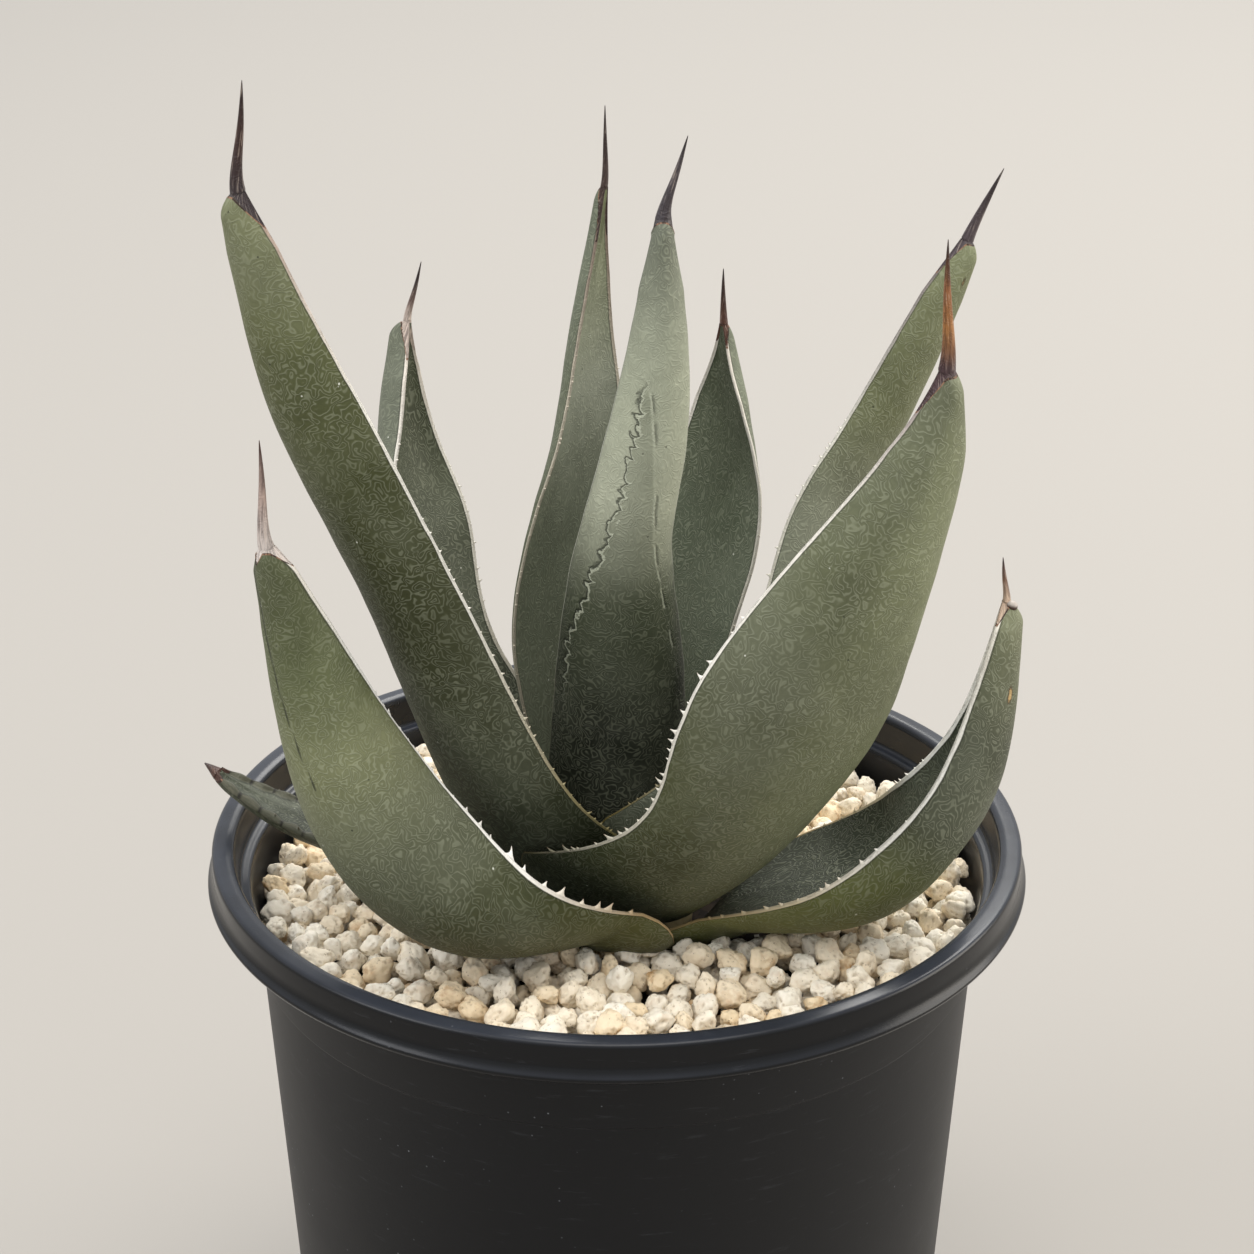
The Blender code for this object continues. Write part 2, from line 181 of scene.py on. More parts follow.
shine = add(tree, "Math", {0: cloud, 1: 0.12, 2: shine}, **scaled)
tree.links.new(shine, shader.inputs["Roughness"])
relief = add(tree, "Bump", {"Height": grain, "Strength": 0.25, "Distance": 0.06 * mm})
tree.links.new(relief, shader.inputs["Normal"])

floor_inside = wall_at(floor_thickness) - wall_thickness
pot_corners = [
    (wall_at(0) - 8.0, 0.0, 0),
    (wall_at(0) - 0.2, 0.0, 2.6),
    (wall_at(30), 30.0, 0),
    (wall_at(90), 90.0, 0),
    (wall_at(150), 150.0, 0),
    (wall_top_radius, wall_top_height, 0.5),
    (wall_top_radius + 0.8, wall_top_height + 0.7, 0.5),
    (105.8, 203.0, 1.5),
    (109.6, 204.6, 1.2),
    (109.9, 212.4, 1.0),
    (112.7, 212.4, 1.0),
    (113.8, 204.2, 0.6),
    (115.7, 203.6, 0.8),
    (bead_radius, 205.2, 0.7),
    (115.6, 206.6, 0.8),
    (114.9, 208.4, 1.2),
    (rim_radius, pot_height - 0.1, 1.6),
    (rim_inside + 2.2, pot_height, 0.8),
    (rim_inside + 0.6, pot_height - 0.5, 0.6),
    (rim_inside, pot_height - 1.6, 0.6),
    (rim_inside - 1.0, ledge_height + 0.2, 1.2),
    (ledge_radius, ledge_height, 1.0),
    (ledge_radius - 0.8, ledge_height - 2.4, 0.8),
    (wall_top_radius - wall_thickness + 0.4, wall_top_height, 0),
    (floor_inside, floor_thickness, 2.4),
    (floor_inside - 8.0, floor_thickness, 0),
]
rings = [circle(radius, height, pot_facets) for radius, height in filleted(pot_corners)]
pot = skinned("pot_moulding", rings, black_plastic, sharp=40)
drills = []
for step in range(6):
    turn = math.tau * step / 6
    ends = [circle(7.0, height, 32, (62 * math.cos(turn), 62 * math.sin(turn))) for height in (-4, 8)]
    drill = skinned(f"drill_{step}", ends, black_plastic)
    bore = pot.modifiers.new("drain_hole", "BOOLEAN")
    bore.object = drill
    drills.append(drill)
bpy.context.view_layer.update()
drilled = bpy.data.meshes.new_from_object(pot.evaluated_get(bpy.context.evaluated_depsgraph_get()))
pot.modifiers.clear()
pot.data = drilled
for drill in drills:
    bpy.data.objects.remove(drill)
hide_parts("pot")

# ------------------------------------------------------------------------------- mix and stem
# The potting mix is peat and bark with a little perlite, seen through the drain holes and in the small
# gaps among the leaf bases. The stem is pale fibrous tissue, hidden by them. Both keep their shape.
damp_mix, tree, shader = new_finish("peat_potting_mix", {"IOR": 1.4, "Roughness": 0.95})
place = add(tree, "TexCoord", out="Object")
crumb = add(tree, "TexVoronoi", {"Vector": place, "Scale": 1 / (2.5 * mm)}, out="Color")
tint = add(tree, "SeparateXYZ", {0: crumb}, out="X")
white = add(tree, "MapRange", {0: tint, 1: 0.93, 2: 0.95})
colour = add(tree, "Mix", {0: tint, 6: linear("#1d1712"), 7: linear("#33291f")}, **blend)
colour = add(tree, "Mix", {0: white, 6: colour, 7: linear("#d9d5cb")}, **blend)
tree.links.new(colour, shader.inputs["Base Color"])
relief = add(tree, "Bump", {"Height": tint, "Strength": 0.8, "Distance": 1.0 * mm})
tree.links.new(relief, shader.inputs["Normal"])
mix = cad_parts["potting_mix"]
mix.data.materials.clear()
mix.data.materials.append(damp_mix)

stem_fibre, tree, shader = new_finish("stem_tissue", {"IOR": 1.4, "Roughness": 0.7})
place = add(tree, "TexCoord", out="Object")
fibre = add(tree, "Mapping", {"Vector": place, "Scale": (1.0, 1.0, 0.15)})
fibre = add(tree, "TexNoise", {"Vector": fibre, "Scale": 1 / (1.5 * mm), "Detail": 4.0})
colour = add(tree, "Mix", {0: fibre, 6: linear("#7c6b4c"), 7: linear("#b9a97e")}, **blend)
tree.links.new(colour, shader.inputs["Base Color"])
relief = add(tree, "Bump", {"Height": fibre, "Strength": 0.5, "Distance": 0.5 * mm})
tree.links.new(relief, shader.inputs["Normal"])
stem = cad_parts["stem_and_roots"]
stem.data.materials.clear()
stem.data.materials.append(stem_fibre)

# ---------------------------------------------------------------------------------------- leaves
# Each leaf is a thick, stiff channel of water tissue under a waxy skin, with a horny white edge. Its
# back closes in a round hood, and a horny spine stands in the hood and runs down both edges.
# azimuth is the direction of its base in degrees from +X. line runs midway between its edges from base to
# spine, and half_width is measured round the section. curl is half the angle that the section curls
# through, twist turns it about its line, and spine is the spine's tip. edge is the edge's thickness, and
# hood the length over which the edges run in to the spine. back, front, rim and horn are the colours of
# its skin, edge and spine from base to tip. teeth gives the shares of the length where teeth start and
# end, and their height and spacing. arch is how far the horn runs down the edges, and how sharply.
#
# Some leaves have more. foot is the way the base runs into the stem, and how narrow it gets. tuck narrows
# one side at the base. prints are two lines, of (height, place across), and crease is one. scars are
# (place across, height, size). notch is a dip in the horn's edge, knob a blister beside the spine, and
# painted_light_side a stretch across the back painted paler, a painted light from behind.
leaves = {
    "leaf_heart": dict(
        azimuth=-90,
        line=((5, -5, 214), (5, -4, 252), (6, -4, 286), (8, -4, 314), (10, -4, 334)),
        half_width=(12, 14, 12, 8, 5),
        curl=(80, 80, 80),
        twist=(0, 0, 0),
        spine=(11, -4, 350),
        spine_radius=1.5,
        furled=True,
        edge=0.4,
        hood=8,
        back=("#45512e", "#556041", "#646e54"),
        front=("#45512e", "#556041"),
        rim=("#6a6440", "#a59d80"),
        horn=("#44352f", "#352824"),
        arch=(3, 2.0),
    ),
    "leaf_back_centre": dict(
        azimuth=100,
        line=((5, -3, 214), (-13, 11, 268), (-8, 23, 314), (-6, 26, 350), (-3, 29, 394)),
        half_width=(24, 24, 20, 13, 4.2),
        curl=(78, 67, 79),
        twist=(-4, -36, -61),
        spine=(-3, 30, 416),
        spine_radius=1.1,
        edge=0.7,
        hood=26,
        back=("#525740", "#626853", "#686e5d"),
        front=("#4a503e", "#707663", "#939787", "#6d724d"),
        rim=("#77705a", "#bab3a2", "#c9c0ae", "#5b4236"),
        horn=("#44332e", "#362825", "#211a1a"),
        teeth=(0.05, 0.75, 0.7, 3.4),
        arch=(13, 6.0),
    ),
    "leaf_front_centre": dict(
        azimuth=-92,
        line=((-1, -11, 212), (1, -20, 273), (2, -26, 313), (9, -26, 350), (12, -23, 400)),
        half_width=(27, 23, 17, 14, 6),
        curl=(70, 73, 88),
        twist=(-11, -9, -2),
        spine=(18, -22, 421),
        spine_radius=1.7,
        edge=0.6,
        hood=18,
        # The back runs near black low down, a painted shade among the leaf bases, and pale in the middle,
        # where wax bloom is lifted by a painted highlight.
        back=("#0e1308", "#0c1107", "#494f3d", "#b2b5a0", "#a5a994", "#5f6356"),
        front=("#272c1d", "#434938", "#515544"),
        rim=("#4c4a2c", "#8d8f80", "#b9bbae", "#9fa294"),
        horn=("#454044", "#4b4447", "#282427"),
        teeth=(0.03, 0.3, 0.8, 5.0),
        prints=(
            ((150, -0.15), (117, -0.2), (99, -0.4), (76, -0.75)),
            ((150, -0.15), (125, 0.2), (95, 0.55), (68, 0.72)),
        ),
        arch=(2.6, 2.0),
    ),
    "leaf_back_right": dict(
        azimuth=60,
        line=((9, 3, 213), (13, 23, 256), (25, 37, 292), (29, 48, 321), (30, 52, 348)),
        half_width=(24, 24, 23, 16, 4.0),
        curl=(64, 52, 88),
        twist=(3, 10, 36),
        spine=(30, 53, 364),
        spine_radius=1.25,
        edge=0.8,
        hood=22,
        back=("#595f4c", "#676b5b", "#6d7360"),
        front=("#4e5643", "#57604e", "#505743", "#3b412e"),
        rim=("#8b8674", "#c3beb0", "#dad6cb", "#d8d0c5"),
        horn=("#5c3b2d", "#3f2a24", "#241c1b"),
        teeth=(0.05, 0.6, 0.8, 4.5),
        arch=(5, 6.0),
    ),
    "leaf_back_left": dict(
        azimuth=150,
        line=((-9, 3, 215), (-44, 18, 255), (-52, 33, 291), (-57, 46, 315), (-59, 52, 349)),
        half_width=(25, 24, 24, 20, 8),
        curl=(57, 63, 87),
        twist=(-1, -5, -27),
        spine=(-55, 53, 366),
        spine_radius=1.3,
        edge=0.9,
        hood=16,
        back=("#535848", "#616657", "#6c7162", "#676b5b"),
        front=("#34382b", "#424638", "#4a4e3b", "#404531"),
        rim=("#8d8876", "#cfcabd", "#ddd9cf", "#e2d8cc"),
        horn=("#cdbcb0", "#6e5a52", "#35292a", "#241c1d"),
        arch=(9, 5.0),
        teeth=(0.05, 0.75, 0.9, 5.0),
    ),
    "leaf_back_low": dict(
        azimuth=95,
        line=((3, 22, 208), (-1, 45, 222), (-4, 63, 244), (-8, 74, 266), (-10, 80, 288)),
        half_width=(26, 26, 22, 16, 8),
        curl=(50, 65, 85),
        twist=(0, 0, 0),
        spine=(-10, 82, 302),
        spine_radius=1.6,
        edge=0.8,
        hood=8,
        back=("#45492c", "#535740", "#676a52"),
        front=("#2d3326", "#3d4232"),
        rim=("#8d8464", "#e0ddd2", "#d9d5ca"),
        horn=("#80624f", "#49352f", "#261d1d"),
        teeth=(0.03, 0.7, 1.4, 4.5),
        arch=(6, 2.4),
    ),
    "leaf_right_tall": dict(
        azimuth=-28,
        line=((14, -2, 221), (43, -6, 260), (54, 2, 309), (70, 8, 341), (92, 7, 386)),
        half_width=(44, 35, 28, 20, 9),
        curl=(72, 60, 77),
        twist=(17, -3, 12),
        spine=(101, 7, 405),
        spine_radius=1.8,
        edge=0.7,
        hood=16,
        back=("#626757", "#878b7b", "#7e816f", "#666a49", "#7f8361"),
        front=("#282e22", "#363b2f"),
        rim=("#7c6f3c", "#c9c5b6", "#dedbd0", "#57494a"),
        horn=("#50464a", "#463c3e", "#261f21"),
        teeth=(0.03, 0.75, 1.1, 4.5),
        scars=((-0.2, 177, 0.35),),
        arch=(9, 8.0),
    ),
    "leaf_left_tall": dict(
        azimuth=205,
        line=((-13, -7, 220), (-31, -26, 248), (-50, -36, 299), (-73, -39, 357), (-91, -44, 413)),
        half_width=(38, 31, 25, 24, 10),
        curl=(66, 64, 88),
        twist=(-16, -19, -9),
        spine=(-89, -44, 440),
        spine_radius=2.1,
        edge=0.8,
        hood=14,
        back=("#2d311f", "#303520", "#31351b", "#36391d", "#404422", "#5d613d", "#707351"),
        front=("#282d1e", "#3b402a"),
        rim=("#6e672f", "#a89c74", "#dddad0", "#e3e0d6", "#8d7060"),
        horn=("#352c2f", "#442f28", "#211718"),
        teeth=(0.03, 0.62, 1.0, 4.2),
        arch=(8, 3.0),
    ),
    "leaf_front_right": dict(
        azimuth=-76,
        line=((15, -24, 215), (33, -53, 249), (48, -63, 294), (69, -64, 343), (79, -69, 376)),
        half_width=(47, 33, 41, 26, 8),
        curl=(38, 61, 88),
        twist=(9, -21, -42),
        spine=(78, -72, 409),
        spine_radius=2.3,
        edge=0.8,
        hood=20,
        back=("#353821", "#3a3f24", "#4b4f30", "#555841", "#62664b", "#64684e", "#61644e"),
        front=("#272c20", "#424837", "#535845"),
        rim=("#56502f", "#cfcabb", "#e9e5dc", "#d9d4ca", "#6b5558"),
        horn=("#4b383b", "#a47140", "#8f5e3b", "#352624"),
        teeth=(0.04, 0.58, 1.7, 4.0),
        arch=(9, 6.0),
        tuck=(0.66, 70),
        painted_light_side=(-0.55, -0.15, 1.5),
    ),
    "leaf_left_low": dict(
        azimuth=237,
        line=((-18, -34, 210), (-40, -54, 224), (-64, -54, 253), (-77, -51, 287), (-87, -61, 327)),
        half_width=(35, 31, 29, 20, 7),
        curl=(42, 90, 85),
        twist=(-9, -25, -5),
        spine=(-87, -64, 356),
        spine_radius=1.9,
        edge=1.3,
        hood=7,
        back=("#54562a", "#3e4223", "#46492f", "#717452", "#646a48", "#4c5134"),
        front=("#555e5a", "#464d41", "#454a3a"),
        rim=("#b99f75", "#f1eee6", "#f6f4ee", "#f0eee8", "#dcd6cb"),
        horn=("#d6cbc4", "#b09a90", "#4d3732"),
        teeth=(0.02, 0.72, 2.3, 4.4),
        crease=(-0.2, -0.55, 82, 165),
        notch=(-0.3, 4.0, 0.35),
        arch=(5, 4.0),
        foot=((25, -3, -6), 0.35),
    ),
    "leaf_right_low": dict(
        azimuth=-17,
        line=((40, -14, 207), (62, -28, 223), (76, -34, 238), (90, -36, 260), (102, -34, 300)),
        half_width=(36, 39, 33, 25, 9),
        curl=(48, 88, 80),
        twist=(9, -2, -4),
        spine=(101, -33, 312),
        spine_radius=1.3,
        edge=1.1,
        hood=6,
        back=("#757a45", "#6d7240", "#5e6237", "#353923", "#3f4231", "#787b5f"),
        front=("#272d1f", "#2d3225", "#353b2d"),
        rim=("#9a865c", "#d3c6aa", "#f0ede5", "#f3f1ea", "#e2dcd0"),
        horn=("#c7ae98", "#7a5c4a", "#33262a"),
        teeth=(0.02, 0.6, 1.2, 5.2),
        scars=((-0.36, 98, 0.8),),
        arch=(4, 6.0),
        knob=(2.0, -0.5, 1.7, -0.6),
        foot=((-20, 0, -8), 0.8),
    ),
    "leaf_left_stub": dict(
        azimuth=176,
        line=((-36, -3, 206), (-62, -4, 211), (-84, -1, 216), (-100, 2, 222), (-114, 6, 229)),
        half_width=(15, 14, 12, 9, 5),
        curl=(40, 60, 80),
        twist=(0, 0, 0),
        spine=(-118, 8, 231),
        spine_radius=1.9,
        edge=1.2,
        hood=5,
        back=("#282a1c", "#2e301e", "#383b25"),
        front=("#1f2517", "#2b3120"),
        rim=("#333429", "#4d4e40", "#5e5e4e"),
        horn=("#583b30", "#442c24", "#352623"),
        teeth=(0.35, 0.8, 1.2, 12.0),
        ribbed=True,
        arch=(1.8, 2.0),
    ),
}
keel_thickness = (6.5, 7.5, 7.0, 5.5, 3.6)
foot_length = 13.0
foot_steps = (1.0, 0.75, 0.5, 0.25)  # shares of the foot at its rings
dome_length = 4.5
rib_spacing = 7.0  # along the edges of the stub
back_points = 49  # round the back of a section
front_points = 35
lip_points = 3  # round each edge


def spline(points, shares):
    """Natural cubic curve through points at even shares of its length."""
    points = np.asarray(points, float)
    last = len(points) - 1
    system = np.eye(last + 1)
    right = np.zeros_like(points)
    for i in range(1, last):
        system[i, i - 1 : i + 2] = 1, 4, 1
        right[i] = 6 * (points[i - 1] - 2 * points[i] + points[i + 1])
    bend = np.linalg.solve(system, right)
    place = np.clip(shares, 0, 1) * last
    i = np.minimum(place.astype(int), last - 1)
    t = (place - i)[:, None]
    s = 1 - t
    curve = (bend[i] * s**3 + bend[i + 1] * t**3) / 6
    return curve + (points[i] - bend[i] / 6) * s + (points[i + 1] - bend[i + 1] / 6) * t


def eased(values, shares):
    """Smooth curve through a few values at even shares."""
    values = np.asarray(values, float)
    last = len(values) - 1
    place = np.clip(shares, 0, 1) * last
    i = np.minimum(place.astype(int), last - 1)
    t = place - i
    slope = np.gradient(values)
    start = (2 * t**3 - 3 * t**2 + 1) * values[i] + (t**3 - 2 * t**2 + t) * slope[i]
    end = (3 * t**2 - 2 * t**3) * values[i + 1] + (t**3 - t**2) * slope[i + 1]
    return start + end


def unit(vectors):
    return vectors / np.linalg.norm(vectors, axis=-1, keepdims=True)


def smooth(low, high, value):
    t = np.clip((value - low) / (high - low), 0, 1)
    return t * t * (3 - 2 * t)


def tinted(stops, shares):
    """Linear colours at shares of the way through a row of hex colours."""
    table = np.array([linear(stop) for stop in stops])
    place = np.linspace(0, 1, len(stops))
    return np.stack([np.interp(shares, place, table[:, i]) for i in range(4)], axis=-1)


def leaf_frames(leaf, shares):
    """Points on the line between the edges, with the directions along it, to one side and outwards."""
    step = 1e-3
    points = spline(leaf["line"], shares)
    along = unit(spline(leaf["line"], shares + step) - spline(leaf["line"], shares - step))
    azimuth = math.radians(leaf["azimuth"])
    level = np.array([-math.sin(azimuth), math.cos(azimuth), 0.0])
    side = unit(level - (along @ level)[:, None] * along)
    out = np.cross(side, along)
    twist = np.radians(eased(leaf["twist"], shares))[:, None]
    turned_side = np.cos(twist) * side + np.sin(twist) * out
    turned_out = np.cos(twist) * out - np.sin(twist) * side
    return points, along, turned_side, turned_out


def blade_steps(leaf):
    """Shares of the length for the rings, closer near the tip, their distances up it, and the length."""
    fine = np.linspace(0, 1, 400)
    walked = np.linalg.norm(np.diff(spline(leaf["line"], fine), axis=0), axis=1)
    walked = np.concatenate([[0], np.cumsum(walked)])
    length = walked[-1]
    hood = length - dome_length * (1 - np.sin(np.linspace(0, math.pi / 2, 14)))
    low = np.arange(0, length - 30, 1.4)
    high = np.arange(length - 30, length - dome_length, 0.55)
    up = np.concatenate([low, high, hood])
    return np.interp(up, walked, fine), up, length


def wander(*coordinates):
    """Smooth noise from -1 to 1 at each point, for coordinates in its own wavelengths."""
    flat = [np.ravel(c) for c in np.broadcast_arrays(*coordinates)]
    values = [noise.noise(Vector(point)) for point in zip(*flat)]
    return np.array(values).reshape(np.broadcast_shapes(*[np.shape(c) for c in coordinates]))


def leaf_shape(leaf, seed):
    """Rings of points from the hidden foot to the end of the spine, and the measures of every point."""
    share, up, length = blade_steps(leaf)
    points, along, side, out = leaf_frames(leaf, share)
    below = (length - up)[:, None]
    half = eased(leaf["half_width"], share) + 0.3 * wander(up / 9, seed, 0.5) * smooth(0, 25, length - up)
    half = half[:, None]
    curl = np.radians(eased(leaf["curl"], share))[:, None]
    radius = half / curl
    keel = np.minimum(eased(keel_thickness, share)[:, None], radius * 0.9)
    edge = np.minimum(leaf["edge"] * (0.55 + 0.45 * smooth(0, 45, up))[:, None], radius * 0.5)
    if leaf.get("ribbed"):
        edge = edge * (1.2 + 0.35 * np.cos(up * math.tau / rib_spacing))[:, None] + 0.3

    lip = np.linspace(0, math.pi, lip_points + 2)[1:-1]
    back, front = np.linspace(-1, 1, back_points), np.linspace(1, -1, front_points)
    across = np.concatenate([back, np.ones(lip_points), front, -np.ones(lip_points)])
    number = np.arange(len(across))
    is_back = number < back_points
    is_front = (number >= back_points + lip_points) & (number < len(across) - lip_points)
    round_the_lip = np.concatenate([np.zeros(back_points), lip, np.full(front_points, math.pi), lip[::-1]])
    facing = (1 - np.cos(round_the_lip)) / 2  # 0 on the back, 1 on the front
    angle = curl * across
    wall = edge + (keel - edge) * (1 - across**2)
    swell = 0.5 * wander(across * half / 22, up[:, None] / 34, seed + 3.0) * smooth(0, 25, below)
    depth = facing * wall - swell
    reach = np.sin(round_the_lip) * edge * 0.5 * np.sign(across)
    sideways = (radius - depth) * np.sin(angle) + np.cos(angle) * reach
    outward = (radius - depth) * np.cos(angle) - radius * np.cos(curl) - np.sin(angle) * reach
    if leaf.get("furled"):
        sideways = np.where(is_front, radius * np.sin(angle) * 0.98, sideways)
        outward = np.where(is_front, -0.9 * radius * (np.cos(angle) - np.cos(curl)) - 0.4, outward)

    # The edges run in to the root of the spine, the back closes over in a dome, and the channel fills.
    lateral = radius * np.sin(curl)
    root_side = min(leaf["spine_radius"] * 1.25, lateral[-1, 0])
    root_out = min(leaf["spine_radius"] * 1.2, (radius * (1 - np.cos(curl)))[-1, 0])
    taper = np.clip(1 - below / leaf["hood"], 0, 1) ** 1.15
    taper = 1 - taper * (1 - root_side / lateral[-1])
    dome = np.clip(1 - below / dome_length, 0, 1)
    fill = smooth(min(leaf["hood"], 12) * 0.8, 0.0, below)
    filled = -0.5 * root_side * np.cos(across * math.pi / 2)
    outward = np.where(is_front, (1 - fill) * outward + fill * filled, outward)
    if "tuck" in leaf:
        amount, reach = leaf["tuck"]
        tucked = 1 - amount * smooth(reach, 0, up)[:, None]
        sideways = np.where(sideways > 0, sideways * tucked, sideways)
    sideways = sideways * taper
    closed = root_out / (radius * (1 - np.cos(curl)))[-1]
    closing = np.sqrt(1 - dome**2 * (1 - closed**2))
    outward = np.where(outward > 0, outward * closing, outward)

    # The skin of the back ends in an arch over the horn, with a raised lip.
    round_mm = across * half
    reach_down, sharpness = leaf["arch"]
    at_the_edge = np.clip(np.abs(across) * 4 - 3, 0, 1)
    arch = reach_down * np.where(is_front, at_the_edge, np.abs(across) ** sharpness)
    if "notch" in leaf:
        place, deep, wide = leaf["notch"]
        arch = arch + is_back * deep * np.clip(1 - np.abs(across - place) / wide, 0, 1)
    crown = (closing - closed) * radius * (1 - np.cos(curl)) * np.cos(across * math.pi / 2) * is_back
    horn_mm = below + crown - 0.6 - arch
    horn_mm = horn_mm + 0.35 * wander(round_mm / 1.6, up[:, None] / 2.2, seed + 7.0) * smooth(0, 2, arch)
    step = 0.28 * np.exp(-(((horn_mm - 0.45) / 0.5) ** 2)) - 0.25 * smooth(0.2, -0.3, horn_mm)
    step = step * is_back * smooth(0, 1.5, arch)
    sideways = sideways + np.sin(angle) * step
    outward = outward + np.cos(angle) * step
    rings = points[:, None] + sideways[..., None] * side[:, None] + outward[..., None] * out[:, None]

    edge_width = 0.35 * edge * (1 + 0.3 * wander(up / 6, seed + 11.0, 0.5))[:, None]
    edge_share = (half - np.abs(round_mm)) / edge_width
    far = np.full_like(round_mm, 20.0)
    print_mm, crease_mm, scar_mm = far, far, far
    if "prints" in leaf:
        courses = [np.array(sorted(course)).T for course in leaf["prints"]]
        left, right = [np.interp(up, heights, places)[:, None] * half for heights, places in courses]
        top, bottom = leaf["prints"][0][0][0], leaf["prints"][0][-1][0]
        print_mm = np.where(is_back, np.minimum(round_mm - left, right - round_mm), -20)
        print_side = smooth(0, 0.5, right + left - 2 * round_mm)
        print_share = (smooth(bottom - 30, bottom + 5, up) * smooth(top + 2, top - 6, up))[:, None]
    else:
        print_mm, print_side, print_share = -far, 0.0, 0.0
    if "crease" in leaf:
        start, end, low, high = leaf["crease"]
        course = np.interp(up, (low, high), (start, end))[:, None] * half
        outside = np.maximum(np.maximum(low - up, up - high), 0)[:, None]
        crease_mm = np.where(is_back, np.abs(round_mm - course) + outside, far)
    for place, height, size in leaf.get("scars", ()):
        away = np.hypot(round_mm - place * half, (up[:, None] - height) / 2.4) - size
        scar_mm = np.where(is_back, np.minimum(scar_mm, away), scar_mm)

    # The spine flares at its root, is flatter in front there, and is round from a third of the way up.
    stations = np.concatenate([np.linspace(0.015, 0.2, 14), np.linspace(0.23, 1.0, 26)])
    root, tip = points[-1], np.array(leaf["spine"], float)
    spine_length = np.linalg.norm(tip - root)
    blend = ((1 - stations) ** 4)[:, None]
    centres = blend * (root + along[-1] * spine_length * stations[:, None])
    centres = centres + (1 - blend) * (root + (tip - root) * stations[:, None])
    slim = leaf["spine_radius"] * 0.86 * (1 - stations) ** 0.9 + 0.1
    flare = np.exp(-stations * spine_length / 3.2)
    wide = (slim + (root_side - slim[0]) * flare)[:, None]
    deep = (slim + (root_out - slim[0]) * flare)[:, None]
    shallow = ((1 - 0.1 * (1 - stations)) * slim + (0.5 * root_side - slim[0]) * flare)[:, None]
    turn = np.concatenate([np.linspace(-86, 86, back_points), np.linspace(88, 92, lip_points),
                           np.linspace(94, 266, front_points), np.linspace(268, 272, lip_points)])
    turn = np.radians(turn)
    fluting = 1 + 0.03 * wander(turn[None] * 3, stations[:, None] * 2, seed)
    spine_out = np.where(np.cos(turn) < 0, shallow, deep) * np.cos(turn) * fluting
    spine_side = wide * np.sin(turn) * fluting
    spine_rings = centres[:, None] + spine_side[..., None] * side[-1] + spine_out[..., None] * out[-1]

    reach, narrow = leaf.get("foot", (-along[0] * foot_length, 0.86))
    middle = rings[0].mean(axis=0)
    feet = []
    for t in foot_steps:
        shrink = 1 - (1 - narrow) * t**1.5
        feet.append(middle + (rings[0] - middle) * shrink + np.array(reach) * t)
    rings = np.concatenate([feet, rings, spine_rings])
    past = (stations * spine_length)[:, None]
    everywhere = np.zeros((len(rings), len(across)))

    def whole(blade, spine=20.0):
        """A measure for the foot, the blade and the spine together."""
        blade = np.broadcast_to(blade, (len(up), len(across)))
        spine = np.broadcast_to(spine, (len(stations), len(across)))
        return np.concatenate([blade[:1]] * len(foot_steps) + [blade, spine])

    skin = tinted(leaf["back"], whole(share[:, None], 1.0))
    inner = tinted(leaf["front"], whole(share[:, None], 1.0))
    skin = skin + (inner - skin) * whole(smooth(0.3, 0.7, facing))[..., None]
    # Painted light: a stretch across the back is made paler, as if lit from behind.
    if "painted_light_side" in leaf:
        low, high, gain = leaf["painted_light_side"]
        skin = skin * (1 + (gain - 1) * smooth(low, high, across) * (1 - facing))[:, None]
    height = np.concatenate([-foot_length * np.array(foot_steps)[:, None], up[:, None], length + past])
    cracks = smooth(-0.85, -1.0, np.cos(up * math.tau / rib_spacing))[:, None] * bool(leaf.get("ribbed"))
    measures = dict(
        skin_tint=skin,
        rim_tint=tinted(leaf["rim"], whole(share[:, None], 1.0)),
        horn_tint=tinted(leaf["horn"], np.clip(whole(0.0, (stations * 1.15 - 0.06)[:, None]), 0, 1)),
        round_mm=whole(round_mm, turn * wide),
        up_mm=height + everywhere,
        edge_share=whole(edge_share, 9.0),
        horn_mm=whole(horn_mm, -past - 0.6),
        print_mm=whole(print_mm, -20.0),
        print_side=whole(print_side, 0.0),
        print_share=whole(print_share, 0.0),
        crease_mm=whole(crease_mm),
        scar_mm=whole(scar_mm),
        facing=facing + everywhere,
        cracked=whole(cracks, 0.0),
        seed=everywhere + seed,
    )
    return rings, measures


# Living leaf skin: grey-green under a powdery wax, which lies in fine worm-like ridges and rubs off to a
# deeper green; olive low down, where no light reaches. The edge and the spine are dry horn.
leaf_skin, tree, shader = new_finish("waxy_leaf_skin_and_horn", {"IOR": 1.42, "Specular IOR Level": 0.4})
soft = {"interpolation_type": "SMOOTHSTEP"}
names = ("round_mm", "up_mm", "edge_share", "horn_mm", "print_mm", "print_side",
         "print_share", "crease_mm", "scar_mm", "facing", "cracked", "seed")
values = [add(tree, "Attribute", attribute_name=name, out="Fac") for name in names]
round_mm, up_mm, edge_share, horn_mm, print_mm, print_side = values[:6]
print_share, crease_mm, scar_mm, facing, cracked, seed = values[6:]
names = ("skin_tint", "rim_tint", "horn_tint")
tints = [add(tree, "Attribute", attribute_name=name, out="Color") for name in names]
skin_tint, rim_tint, horn_tint = tints
layer = add(tree, "Math", {0: facing, 1: 17.0, 2: seed}, **scaled)
skin_place = add(tree, "CombineXYZ", {"X": round_mm, "Y": up_mm, "Z": layer})

